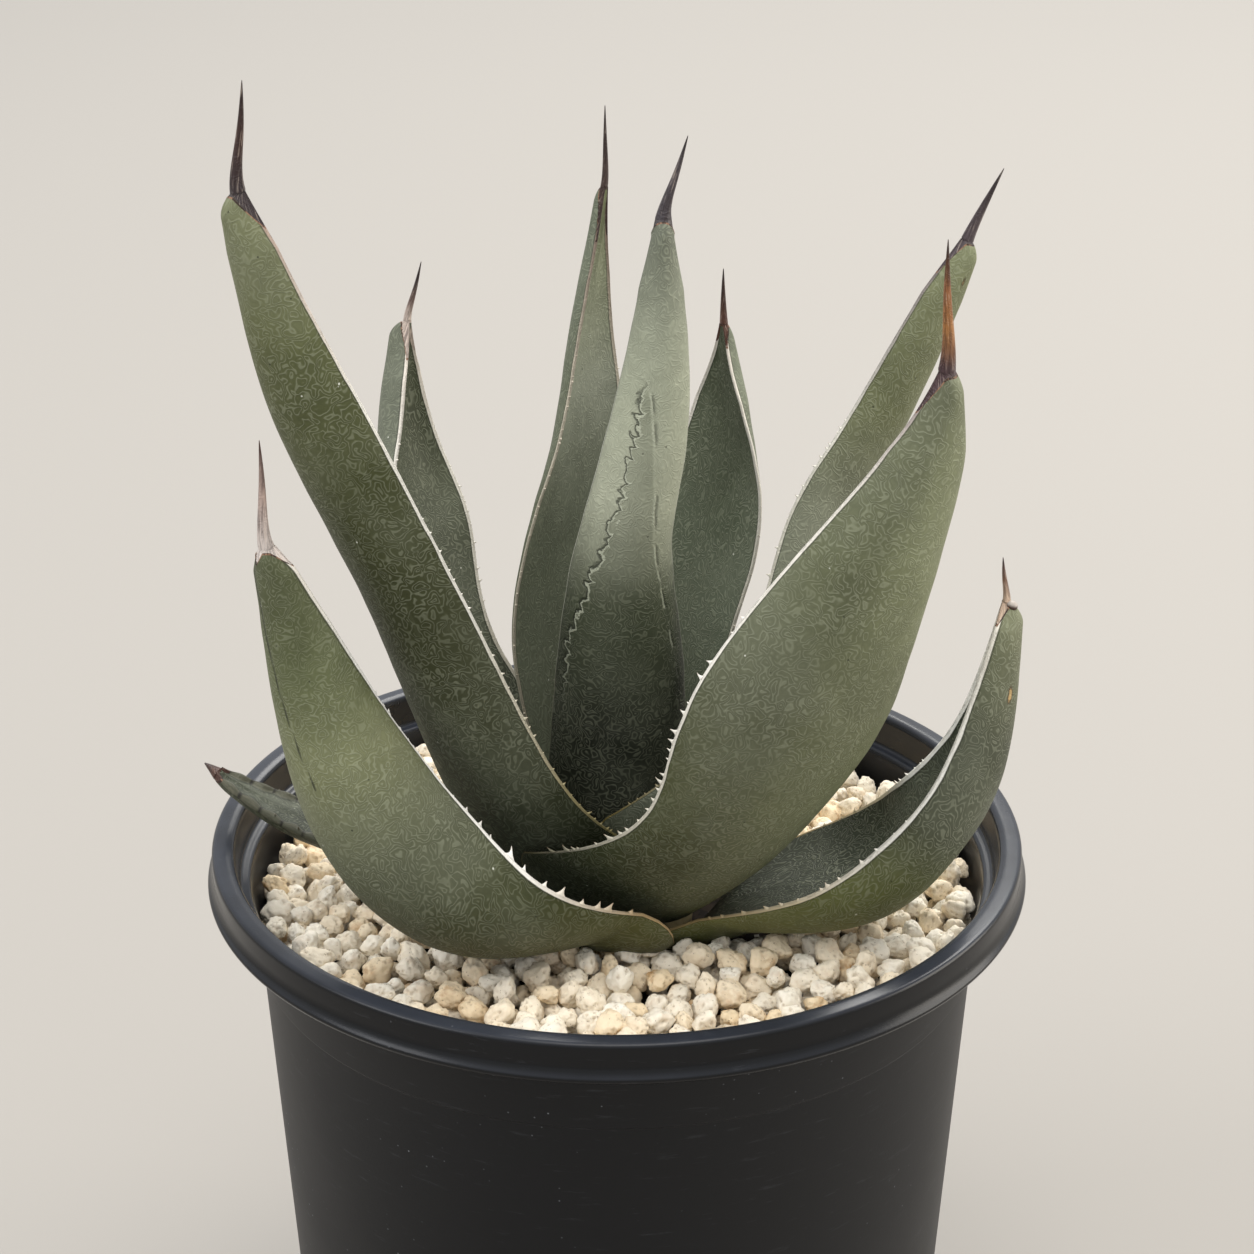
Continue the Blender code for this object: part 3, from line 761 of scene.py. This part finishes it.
# Wax ridges about 0.4 mm wide and 1 to 2 mm apart, curled like a fingerprint: level lines of a soft noise.
swirl = add(tree, "TexNoise", {"Vector": skin_place, "Scale": 1 / 2.9, "Detail": 0.0, "Distortion": 0.5})
swirl = add(tree, "Math", {0: swirl, 1: 0.08}, operation="PINGPONG")
patch = add(tree, "TexNoise", {"Vector": skin_place, "Scale": 1 / 18.0, "Detail": 2.0})
patch = add(tree, "MapRange", {0: patch, 1: 0.35, 2: 0.6, 3: 0.6, 4: 1.0}, **soft)
ridge = add(tree, "MapRange", {0: swirl, 1: 0.008, 2: 0.042, 3: 1.0, 4: 0.0}, **soft)
ridge = add(tree, "Math", {0: ridge, 1: patch}, operation="MULTIPLY")
wax = add(tree, "Math", {0: ridge, 1: 0.24}, operation="MULTIPLY")
furrow = add(tree, "MapRange", {0: swirl, 1: 0.05, 2: 0.08, 3: 0.0, 4: 0.1}, **soft)

# Broad patches of powder, places rubbed bare, blotches, and fine streaks up the leaf.
broad = add(tree, "TexNoise", {"Vector": skin_place, "Scale": 1 / 42.0, "Detail": 3.0, "Roughness": 0.55})
powder = add(tree, "MapRange", {0: broad, 1: 0.4, 2: 0.68, 3: 0.0, 4: 0.22}, **soft)
deeper = add(tree, "MapRange", {0: broad, 1: 0.35, 2: 0.5, 3: 0.22, 4: 0.0}, **soft)
mottle = add(tree, "TexNoise", {"Vector": skin_place, "Scale": 1 / 4.5, "Detail": 4.0, "Roughness": 0.65})
blotch = add(tree, "MapRange", {0: mottle, 1: 0.3, 2: 0.7, 3: 0.12, 4: 0.0}, **soft)
stretch = add(tree, "Mapping", {"Vector": skin_place, "Scale": (1.0, 0.12, 1.0)})
streak = add(tree, "TexNoise", {"Vector": stretch, "Scale": 1 / 2.2, "Detail": 4.0, "Roughness": 0.6})
streaks = add(tree, "MapRange", {0: streak, 1: 0.55, 2: 0.8, 3: 0.0, 4: 0.12}, **soft)
level = add(tree, "SeparateXYZ", {0: add(tree, "TexCoord", out="Object")}, out="Z")
shaded = add(tree, "MapRange", {0: level, 1: 196 * mm, 2: 216 * mm, 3: 0.35, 4: 0.0}, **soft)

# Pores and pale flecks, 0.3 to 0.5 mm wide and several millimetres apart.
cell = add(tree, "TexVoronoi", {"Vector": skin_place, "Scale": 1 / 5.0})
fleck = add(tree, "MapRange", {0: cell, 1: 0.03, 2: 0.075, 3: 1.0, 4: 0.0}, **soft)
kind = add(tree, "TexVoronoi", {"Vector": skin_place, "Scale": 1 / 5.0}, out="Color")
kind = add(tree, "SeparateXYZ", {0: kind}, out="X")
is_dark = add(tree, "MapRange", {0: kind, 1: 0.55, 2: 0.56, 3: 0.0, 4: 0.7})
is_pale = add(tree, "MapRange", {0: kind, 1: 0.16, 2: 0.17, 3: 0.85, 4: 0.0})
dark_pore = add(tree, "Math", {0: fleck, 1: is_dark}, operation="MULTIPLY")
pale_fleck = add(tree, "Math", {0: fleck, 1: is_pale}, operation="MULTIPLY")

# The print of a neighbour's edge and teeth in the bud: a darker tongue, and a pale scalloped outline that
# is plain on one side and broken on the other, with a sunken mark beyond it darkened by a painted shadow.
wobble = add(tree, "TexNoise", {"Vector": skin_place, "Scale": 1 / 7.0, "Detail": 1.0})
lobe = add(tree, "Math", {0: wobble, 1: 2.4}, operation="MULTIPLY")
lobe = add(tree, "Math", {0: up_mm, 1: 1 / 4.8, 2: lobe}, **scaled)
lobe = add(tree, "Math", {0: lobe}, operation="FRACT")
lobe = add(tree, "Math", {0: lobe, 1: math.pi}, operation="MULTIPLY")
lobe = add(tree, "Math", {0: lobe}, operation="SINE")
lobe_depth = add(tree, "MapRange", {0: mottle, 1: 0.35, 2: 0.65, 3: 0.9, 4: 2.6})
lobe_depth = add(tree, "Math", {0: lobe_depth, 1: print_side}, operation="MULTIPLY")
ragged = add(tree, "Math", {0: mottle, 1: 1.6, 2: -0.8}, **scaled)
ragged = add(tree, "Math", {0: print_mm, 1: ragged}, operation="ADD")
print_edge = add(tree, "Math", {0: lobe, 1: lobe_depth, 2: ragged}, **scaled)
beside = add(tree, "Math", {0: print_edge}, operation="ABSOLUTE")
print_line = add(tree, "MapRange", {0: beside, 1: 0.15, 2: 0.55, 3: 0.8, 4: 0.0}, **soft)
gaps = add(tree, "MapRange", {0: wobble, 1: 0.45, 2: 0.55, 3: 0.05, 4: 0.7}, **soft)
gaps = add(tree, "MapRange", {0: print_side, 1: 0.0, 2: 1.0, 3: gaps, 4: 1.0})
gaps = add(tree, "Math", {0: gaps, 1: print_share}, operation="MULTIPLY")
print_line = add(tree, "Math", {0: print_line, 1: gaps}, operation="MULTIPLY")
# Painted shadow: beyond the outline the skin dips and is darkened.
outside = add(tree, "MapRange", {0: print_edge, 1: -1.5, 2: -0.6, 3: 0.0, 4: 0.75}, **soft)
inside = add(tree, "MapRange", {0: print_edge, 1: -0.6, 2: -0.2, 3: 1.0, 4: 0.0}, **soft)
bite_painted_shadow = add(tree, "Math", {0: outside, 1: inside}, operation="MULTIPLY")
bite_painted_shadow = add(tree, "Math", {0: bite_painted_shadow, 1: gaps}, operation="MULTIPLY")
tongue = add(tree, "MapRange", {0: print_edge, 1: 0.0, 2: 0.8, 3: 0.0, 4: 0.3}, **soft)
tongue = add(tree, "Math", {0: tongue, 1: print_share}, operation="MULTIPLY")

# A sunken crease darkened with painted shade, brown scars with tan middles, and the thin dark line where
# the skin meets the edge.
crease = add(tree, "MapRange", {0: crease_mm, 1: 0.15, 2: 0.6, 3: 0.75, 4: 0.0}, **soft)
scar_place = add(tree, "Math", {0: mottle, 1: 2.4, 2: scar_mm}, **scaled)
scar_edge = add(tree, "MapRange", {0: scar_place, 1: 1.2, 2: 1.7, 3: 0.9, 4: 0.0}, **soft)
scar = add(tree, "MapRange", {0: scar_place, 1: 0.9, 2: 1.3, 3: 0.9, 4: 0.0}, **soft)
edge_line = add(tree, "Math", {0: mottle, 1: 0.8, 2: -0.4}, **scaled)
edge_line = add(tree, "Math", {0: edge_share, 1: edge_line}, operation="ADD")
seam = add(tree, "MapRange", {0: edge_line, 1: 2.2, 2: 3.2, 3: 0.55, 4: 0.0}, **soft)
colour = skin_tint
for share, over in (
    (powder, "#8b8f7d"),
    (deeper, "#282c18"),
    (blotch, "#212616"),
    (shaded, "#252911"),
    (furrow, "#1b2010"),
    (wax, "#a7ab94"),
    (streaks, "#949881"),
    (dark_pore, "#1f2216"),
    (pale_fleck, "#dadbcf"),
    (tongue, "#454a38"),
    (bite_painted_shadow, "#1c2116"),
    (print_line, "#b3b7a3"),
    (crease, "#1f2216"),
    (scar_edge, "#42341d"),
    (scar, "#b89a68"),
    (seam, "#1f2216"),
):
    colour = add(tree, "Mix", {0: share, 6: colour, 7: linear(over)}, **blend)

# The horny edge: bone white, with a few brown streaks, and cracked across on the old stub.
rubbed = add(tree, "MapRange", {0: streak, 1: 0.5, 2: 0.75, 3: 0.0, 4: 0.2}, **soft)
rim = add(tree, "Mix", {0: rubbed, 6: rim_tint, 7: linear("#a1937c")}, **blend)
rim = add(tree, "Mix", {0: cracked, 6: rim, 7: linear("#1d1b17")}, **blend)
is_rim = add(tree, "MapRange", {0: edge_line, 1: 1.1, 2: 1.9, 3: 1.0, 4: 0.0}, **soft)
colour = add(tree, "Mix", {0: is_rim, 6: colour, 7: rim}, **blend)

# The spine and the horn that runs down from it, with lengthwise streaks and a brown raised lip round it.
drawn = add(tree, "Mapping", {"Vector": skin_place, "Scale": (1.8, 0.14, 1.0)})
drawn = add(tree, "TexNoise", {"Vector": drawn, "Scale": 1.0, "Detail": 5.0, "Roughness": 0.65})
dark_grain = add(tree, "MapRange", {0: drawn, 1: 0.42, 2: 0.66, 3: 0.0, 4: 0.6}, **soft)
pale_grain = add(tree, "MapRange", {0: drawn, 1: 0.3, 2: 0.46, 3: 0.4, 4: 0.0}, **soft)
horn = add(tree, "Mix", {0: dark_grain, 6: horn_tint, 7: linear("#2a1d1b")}, **blend)
horn = add(tree, "Mix", {0: pale_grain, 6: horn, 7: linear("#c9b8a8")}, **blend)
lip_tint = add(tree, "MapRange", {0: mottle, 1: 0.45, 2: 0.55}, **soft)
lip_tint = add(tree, "Mix", {0: lip_tint, 6: linear("#33201c"), 7: linear("#8d6a54")}, **blend)
is_horn = add(tree, "MapRange", {0: horn_mm, 1: -0.15, 2: 0.05, 3: 1.0, 4: 0.0}, **soft)
above = add(tree, "MapRange", {0: horn_mm, 1: -0.1, 2: 0.1}, **soft)
below = add(tree, "MapRange", {0: horn_mm, 1: 0.5, 2: 0.8, 3: 1.0, 4: 0.0}, **soft)
on_back = add(tree, "MapRange", {0: facing, 1: 0.3, 2: 0.6, 3: 1.0, 4: 0.0}, **soft)
outline = add(tree, "Math", {0: above, 1: below}, operation="MULTIPLY")
outline = add(tree, "Math", {0: outline, 1: on_back}, operation="MULTIPLY")
colour = add(tree, "Mix", {0: is_horn, 6: colour, 7: horn}, **blend)
colour = add(tree, "Mix", {0: outline, 6: colour, 7: lip_tint}, **blend)
tree.links.new(colour, shader.inputs["Base Color"])
dull = add(tree, "MapRange", {0: horn_mm, 1: -0.2, 2: 0.2, 3: 0.34, 4: 0.58}, **soft)
tree.links.new(dull, shader.inputs["Roughness"])

# Relief in millimetres: skin grain, wax, print, crease and pores, and the grain of the horn.
grain = add(tree, "TexNoise", {"Vector": skin_place, "Scale": 1 / 0.7, "Detail": 2.0})
horn_grain = add(tree, "MapRange", {0: horn_mm, 1: -0.2, 2: 0.2, 3: 0.25, 4: 0.02}, **soft)
relief_mm = 0.0
for measure, height in (
    (grain, 0.03),
    (ridge, 0.09),
    (print_line, 0.2),
    (bite_painted_shadow, -0.35),
    (crease, -0.25),
    (dark_pore, -0.15),
    (drawn, horn_grain),
):
    relief_mm = add(tree, "Math", {0: measure, 1: height, 2: relief_mm}, **scaled)
relief = add(tree, "Bump", {"Height": relief_mm, "Strength": 1.0, "Distance": mm})
tree.links.new(relief, shader.inputs["Normal"])

shapes = {}
for number, (name, leaf) in enumerate(leaves.items()):
    rings, measures = leaf_shape(leaf, number * 3.7 + 1.3)
    blade = skinned(name + "_blade", rings, leaf_skin, **measures)
    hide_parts(name)
    shapes[name] = rings

# ----------------------------------------------------------------------------------- leaf teeth
# Teeth along the lower leaf edges: small stubby spikes of dry horn on broad feet, the colour of the edge
# they grow from, a few millimetres apart, with brown points on some.
tooth_horn, tree, shader = new_finish("tooth_horn", {"IOR": 1.5, "Roughness": 0.45})
toward_tip = add(tree, "Attribute", attribute_name="toward_tip", out="Fac")
tooth_tint = add(tree, "Attribute", attribute_name="tooth_tint", out="Color")
brown = add(tree, "MapRange", {0: toward_tip, 1: 0.6, 2: 1.0, 4: 0.5})
colour = add(tree, "Mix", {0: brown, 6: tooth_tint, 7: linear("#8a6a4c")}, **blend)
tree.links.new(colour, shader.inputs["Base Color"])
tooth_rings = 7
tooth_sides = 10


def teeth_on(leaf, rings, seed):
    """Rings of points, colours and shares of the height of all the teeth along both edges of one leaf."""
    first, last, size, spacing = leaf["teeth"]
    draw = random.Random(int(seed * 100))
    share, up, length = blade_steps(leaf)
    blade = rings[len(foot_steps) : len(foot_steps) + len(up)]
    points, tints, heights = [], [], []
    for behind, middle, before in ((0, -2, -4), (back_points - 1, back_points + 1, back_points + 3)):
        at = first + 0.01
        while at < last:
            row = int(np.searchsorted(share, at))
            place = blade[row, middle]
            along = unit(blade[row + 1, middle] - blade[row - 1, middle])
            through = unit(blade[row, before] - blade[row, behind])
            sideways = unit(place - (blade[row, before] + blade[row, behind]) / 2)
            height = size * draw.choice((0.45, 0.7, 0.9, 1.2)) * draw.uniform(0.8, 1.1) * (1.15 - 0.6 * at)
            lean = draw.uniform(-0.6, 0.8)
            foot = height * draw.uniform(0.3, 0.6)
            paint = tinted(leaf["rim"], np.array([at]))[0]
            for step in range(tooth_rings):
                t = step / (tooth_rings - 1)
                centre = place + sideways * (height * t - 0.15) + along * height * lean * t * t * 0.5
                wide = foot * (1 - t) ** 3.5 + height * 0.15 * (1 - t) ** 0.7 + 0.08
                thick = leaf["edge"] * 0.42 * (1 - t) + 0.05
                for turn in np.arange(tooth_sides) * math.tau / tooth_sides:
                    points.append(centre + along * math.cos(turn) * wide + through * math.sin(turn) * thick)
                    tints.append(paint)
                    heights.append(t)
            at += draw.uniform(0.5, 1.6) * spacing / length
    if "knob" in leaf:
        # A brown blister on the hood, beside the spine, dark below and pale above with a painted highlight.
        off, rise, size, beside = leaf["knob"]
        root, along, side, out = [v[0] for v in leaf_frames(leaf, np.array([1.0]))]
        middle = root + out * off + along * rise + side * beside
        for step in range(tooth_rings):
            t = math.pi * step / (tooth_rings - 1)
            for turn in np.arange(tooth_sides) * math.tau / tooth_sides:
                level = side * math.cos(turn) + out * math.sin(turn)
                points.append(middle + size * (0.8 * along * -math.cos(t) + level * (math.sin(t) + 0.02)))
                # Painted highlight: the half towards the tip is pale grey, and the rest is dark brown.
                tints.append(linear("#a39a92" if step > 3 else "#3f2a20"))
                heights.append(0.0)
    return np.array(points), np.array(tints), np.array(heights)


for number, (name, leaf) in enumerate(leaves.items()):
    if "teeth" not in leaf:
        continue
    points, tints, heights = teeth_on(leaf, shapes[name], number * 3.7 + 1.3)
    index = np.arange(len(points)).reshape(-1, tooth_rings, tooth_sides)
    following = np.roll(index, -1, axis=2)
    quads = np.stack([index[:, :-1], following[:, :-1], following[:, 1:], index[:, 1:]], axis=-1)
    quads = quads.reshape(-1, 4)
    mesh = bpy.data.meshes.new(name + "_teeth")
    faces = quads.tolist() + index[:, 0, ::-1].tolist() + index[:, -1].tolist()
    mesh.from_pydata((points * mm).tolist(), [], faces)
    held = mesh.attributes.new("toward_tip", "FLOAT", "POINT")
    held.data.foreach_set("value", heights.astype(np.float32))
    held = mesh.attributes.new("tooth_tint", "FLOAT_COLOR", "POINT")
    held.data.foreach_set("color", tints.astype(np.float32).ravel())
    bm = bmesh.new()
    bm.from_mesh(mesh)
    bmesh.ops.recalc_face_normals(bm, faces=bm.faces)
    bm.to_mesh(mesh)
    bm.free()
    teeth = piece_from(name + "_teeth", mesh, tooth_horn, sharp=60)

# ---------------------------------------------------------------------------------- pumice gravel
# Loose grains of pale pumice, 6 to 10 mm, poured over the mix. Each is a worn, chipped lump with open
# pores; most are cream, some tan, and those deeper in the bed are darkened with painted shade.
grain_kinds = 20
bed_height = 185.4
bed_radius = 102.2
top_height = 196.8
rosette_foot = (28.0, -3.0, 24.0)  # x, y and radius of the place among the leaf bases where none fall
tries = 14
most_misses = 60
chips_of_grain = slice(0, 5)
pores_of_grain = slice(9, 34)


def pumice_shape(draw):
    """A chipped, knobbly grain of about unit radius, and how deep each point lies in a pore."""
    bm = bmesh.new()
    bmesh.ops.create_icosphere(bm, subdivisions=4, radius=1.0)
    heading = np.array([vert.co.normalized()[:] for vert in bm.verts])
    faces = np.array([[v.index for v in face.verts] for face in bm.faces])
    bm.free()
    offset = [draw.uniform(-50, 50) for _ in range(3)]
    size = 1.04 + 0.26 * wander(*(heading * 1.3 + offset).T) + 0.12 * wander(*(heading * 2.9 + offset).T)
    directions = [unit(np.array([draw.gauss(0, 1) for _ in range(3)])) for _ in range(34)]
    for chip in directions[chips_of_grain]:
        flat = draw.uniform(0.78, 0.94) / np.maximum(heading @ chip, 1e-3)
        flat = np.where(heading @ chip > 0.1, flat, 9.0)
        size = -np.log(np.exp(-9 * size) + np.exp(-9 * np.minimum(flat, 3))) / 9
    size = size - 0.22 * np.abs(wander(*(heading * 2.6 + offset).T))
    size = size - 0.08 * np.abs(wander(*(heading * 6 + offset).T))
    pit = np.zeros(len(heading))
    for pore in directions[pores_of_grain]:
        wide = draw.uniform(0.06, 0.2)
        pit = np.maximum(pit, 1 - (np.linalg.norm(heading - pore, axis=1) / wide) ** 2)
    size = size - 0.12 * pit + 0.018 * wander(*(heading * 11 + offset).T)
    stretch = [draw.uniform(1.0, 1.28), draw.uniform(0.86, 1.04), draw.uniform(0.72, 0.92)]
    return heading * size[:, None] * stretch, faces, pit


def settle(draw, leaf_tree):
    """Shape, radius and centre of grains dropped one by one, each at the lowest rest of a few tries."""
    grains = []
    centres = np.zeros((0, 3))
    radii = np.zeros(0)
    misses = 0
    while misses < most_misses and len(grains) < 1500:
        radius = draw.triangular(2.7, 5.0, 3.9)
        best = None
        for _ in range(tries):
            away = (bed_radius - radius * 0.8) * math.sqrt(draw.random())
            turn = draw.uniform(0, math.tau)
            x, y = away * math.cos(turn), away * math.sin(turn)
            height = bed_height + radius * 0.75
            if len(grains):
                reach = 0.86 * (radii + radius)
                flat = np.hypot(centres[:, 0] - x, centres[:, 1] - y)
                rise = np.sqrt(np.maximum(reach**2 - flat**2, 0))
                height = max(height, float(np.max(np.where(flat < reach, centres[:, 2] + rise, 0))))
            top = top_height + 2.4 * smooth(86, 101, np.hypot(x, y)) + 2.4 * smooth(60, 42, np.hypot(x, y))
            top = top + 0.35 * radius - 1.4
            among_leaves = math.hypot(x - rosette_foot[0], y - rosette_foot[1]) < rosette_foot[2]
            if height > top or (best and height >= best[2]) or among_leaves:
                continue
            spot = Vector((x, y, height))
            found, normal, _, away = leaf_tree.find_nearest(spot)
            if away < 0.62 * radius or (spot - found).dot(normal) < 0:
                continue
            best = (x, y, height)
        if best is None:
            misses += 1
            continue
        misses = 0
        grains.append((draw.randrange(grain_kinds), radius, best))
        centres = np.vstack([centres, best])
        radii = np.append(radii, radius)
    return grains


# Pumice: pale volcanic froth, dusty and matt. Cream to beige, stained ochre in patches, with painted shade
# inside its pores and low in the bed; the colour varies from grain to grain.
pumice, tree, shader = new_finish("pumice", {"IOR": 1.45, "Roughness": 0.92})
names = ("tone", "pore", "drift")
tone, pore, offset = [add(tree, "Attribute", attribute_name=name, out="Fac") for name in names]
level = add(tree, "SeparateXYZ", {0: add(tree, "TexCoord", out="Object")}, out="Z")
# Painted shade: the grains darken towards the bottom of the bed.
painted_bed_shade = add(tree, "MapRange", {0: level, 1: 185 * mm, 2: 191 * mm, 3: 0.95, 4: 0.0})
place = add(tree, "TexCoord", out="Object")
shifted = add(tree, "CombineXYZ", {"X": offset, "Y": offset, "Z": offset})
place = add(tree, "VectorMath", {0: place, 1: shifted}, operation="ADD")
stain = add(tree, "TexNoise", {"Vector": place, "Scale": 1 / (5.0 * mm), "Detail": 3.0, "Roughness": 0.6})
stain = add(tree, "MapRange", {0: stain, 1: 0.54, 2: 0.74})
ochre = add(tree, "MapRange", {0: tone, 1: 0.55, 2: 1.0, 3: 0.3, 4: 1.0})
stain = add(tree, "Math", {0: stain, 1: ochre}, operation="MULTIPLY")
froth = add(tree, "TexVoronoi", {"Vector": place, "Scale": 1 / (0.9 * mm)}, out="Distance")
pit = add(tree, "MapRange", {0: froth, 1: 0.12, 2: 0.3, 3: 1.0, 4: 0.0})
holes = add(tree, "TexNoise", {"Vector": place, "Scale": 1 / (2.0 * mm), "Detail": 2.0})
holes = add(tree, "MapRange", {0: holes, 1: 0.52, 2: 0.6})
pit = add(tree, "Math", {0: pit, 1: holes}, operation="MULTIPLY")
wrinkle = add(tree, "TexNoise", {"Vector": place, "Scale": 1 / (1.1 * mm), "Detail": 5.0, "Roughness": 0.7})
colour = add(tree, "Mix", {0: tone, 6: linear("#fff8e9"), 7: linear("#f7e2bf")}, **blend)
colour = add(tree, "Mix", {0: stain, 6: colour, 7: linear("#bd8f58")}, **blend)
# Painted shade: the deeper a point lies in a pore, the darker it is.
deep = add(tree, "Math", {0: pore, 1: 0.6}, operation="MULTIPLY")
colour = add(tree, "Mix", {0: deep, 6: colour, 7: linear("#94794f")}, **blend)
colour = add(tree, "Mix", {0: painted_bed_shade, 6: colour, 7: linear("#4b3a26")}, **blend)
# Painted shade in the small froth holes.
pit_painted_shade = add(tree, "Math", {0: pit, 1: 0.5}, operation="MULTIPLY")
colour = add(tree, "Mix", {0: pit_painted_shade, 6: colour, 7: linear("#876a45")}, **blend)
tree.links.new(colour, shader.inputs["Base Color"])
height = add(tree, "Math", {0: pit, 1: -0.5, 2: wrinkle}, **scaled)
relief = add(tree, "Bump", {"Height": height, "Strength": 0.7, "Distance": 0.5 * mm})
tree.links.new(relief, shader.inputs["Normal"])

draw = random.Random(11)
lumps = [pumice_shape(draw) for _ in range(grain_kinds)]
points, faces = [], []
for solid in [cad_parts[name] for name in (*leaves, "stem_and_roots")]:
    start = len(points)
    points += [v.co / mm for v in solid.data.vertices]
    faces += [[start + i for i in face.vertices] for face in solid.data.polygons if face.center.z < 0.235]
grains = settle(draw, BVHTree.FromPolygons(points, faces))
sectors = 9
for sector in range(sectors):
    low, high = sector / sectors - 0.5, (sector + 1) / sectors - 0.5
    points, faces, tones, pores, drifts = [], [], [], [], []
    start = 0
    for index, (shape, radius, centre) in enumerate(grains):
        turn = math.atan2(centre[1], centre[0]) / math.tau
        if not low <= turn < high:
            continue
        draw = random.Random(index)
        spin = Matrix.Rotation(draw.uniform(0, math.tau), 3, Vector([draw.gauss(0, 1) for _ in range(3)]))
        lump, lump_faces, depth = lumps[shape]
        points.append((lump * radius) @ np.array(spin) + centre)
        faces.append(lump_faces + start)
        tones.append(np.full(len(lump), draw.random() ** 1.6))
        drifts.append(np.full(len(lump), draw.uniform(-1, 1)))
        pores.append(depth)
        start += len(lump)
    mesh = bpy.data.meshes.new(f"pumice_{sector}")
    mesh.from_pydata((np.concatenate(points) * mm).tolist(), [], np.concatenate(faces).tolist())
    for key, values in (("tone", tones), ("pore", pores), ("drift", drifts)):
        held = mesh.attributes.new(key, "FLOAT", "POINT")
        held.data.foreach_set("value", np.concatenate(values).astype(np.float32))
    heap = piece_from(f"pumice_{sector}", mesh, pumice)
    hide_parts("gravel_bed")

# ------------------------------------------------------------------------ floor, light and camera
# A plain pale floor that runs out of sight, lit by soft daylight with a broad window behind, a panel
# overhead and one on each side, and a short telephoto camera above the plant.
floor_finish, tree, shader = new_finish("pale_floor", {"Base Color": linear("#9d9994"), "Roughness": 0.9})
mesh = bpy.data.meshes.new("floor")
wide = 30.0
corners = [(-wide, -wide, 0), (wide, -wide, 0), (wide, wide, 0), (-wide, wide, 0)]
mesh.from_pydata(corners, [], [(0, 1, 2, 3)])
mesh.materials.append(floor_finish)
floor = bpy.data.objects.new("floor", mesh)
floor.location.z = -0.0002
bpy.context.scene.collection.objects.link(floor)

world = bpy.data.worlds.new("soft_daylight")
world.use_nodes = True
sky = world.node_tree.nodes["Background"]
sky.inputs["Color"].default_value = linear("#f4f6f8")
sky.inputs["Strength"].default_value = 0.95
bpy.context.scene.world = world


def panel(name, place, target, size, power, colour):
    """A soft rectangular light of a size in metres and a power in watts."""
    light = bpy.data.lights.new(name, "AREA")
    light.shape = "RECTANGLE"
    light.size, light.size_y = size
    light.energy = power
    light.color = linear(colour)[:3]
    made = bpy.data.objects.new(name, light)
    made.location = place
    made.rotation_euler = (Vector(target) - Vector(place)).to_track_quat("-Z", "Y").to_euler()
    bpy.context.scene.collection.objects.link(made)


panel("window_behind", (1.0, 2.6, 3.0), (0, 0, 0.25), (2.6, 1.5), 118.0, "#fffdf8")
panel("ceiling_panel", (0.2, -1.0, 3.6), (0, 0, 0.2), (2.2, 2.2), 55.0, "#fffaf2")
panel("left_panel", (-2.6, -1.2, 2.4), (0, 0, 0.2), (1.8, 1.8), 40.0, "#ffffff")
panel("right_panel", (2.8, 0.2, 1.0), (0, 0, 0.2), (1.8, 1.8), 50.0, "#fff8ec")

camera = bpy.data.cameras.new("camera")
camera.lens = 80.0
camera.sensor_width = 36.0
viewer = bpy.data.objects.new("camera", camera)
viewer.location = (2.863 * mm, -703.475 * mm, 593.882 * mm)
viewer.rotation_euler = (math.radians(90 - 24.234), 0, 0)
bpy.context.scene.collection.objects.link(viewer)
bpy.context.scene.camera = viewer
bpy.context.scene.view_settings.view_transform = "Standard"
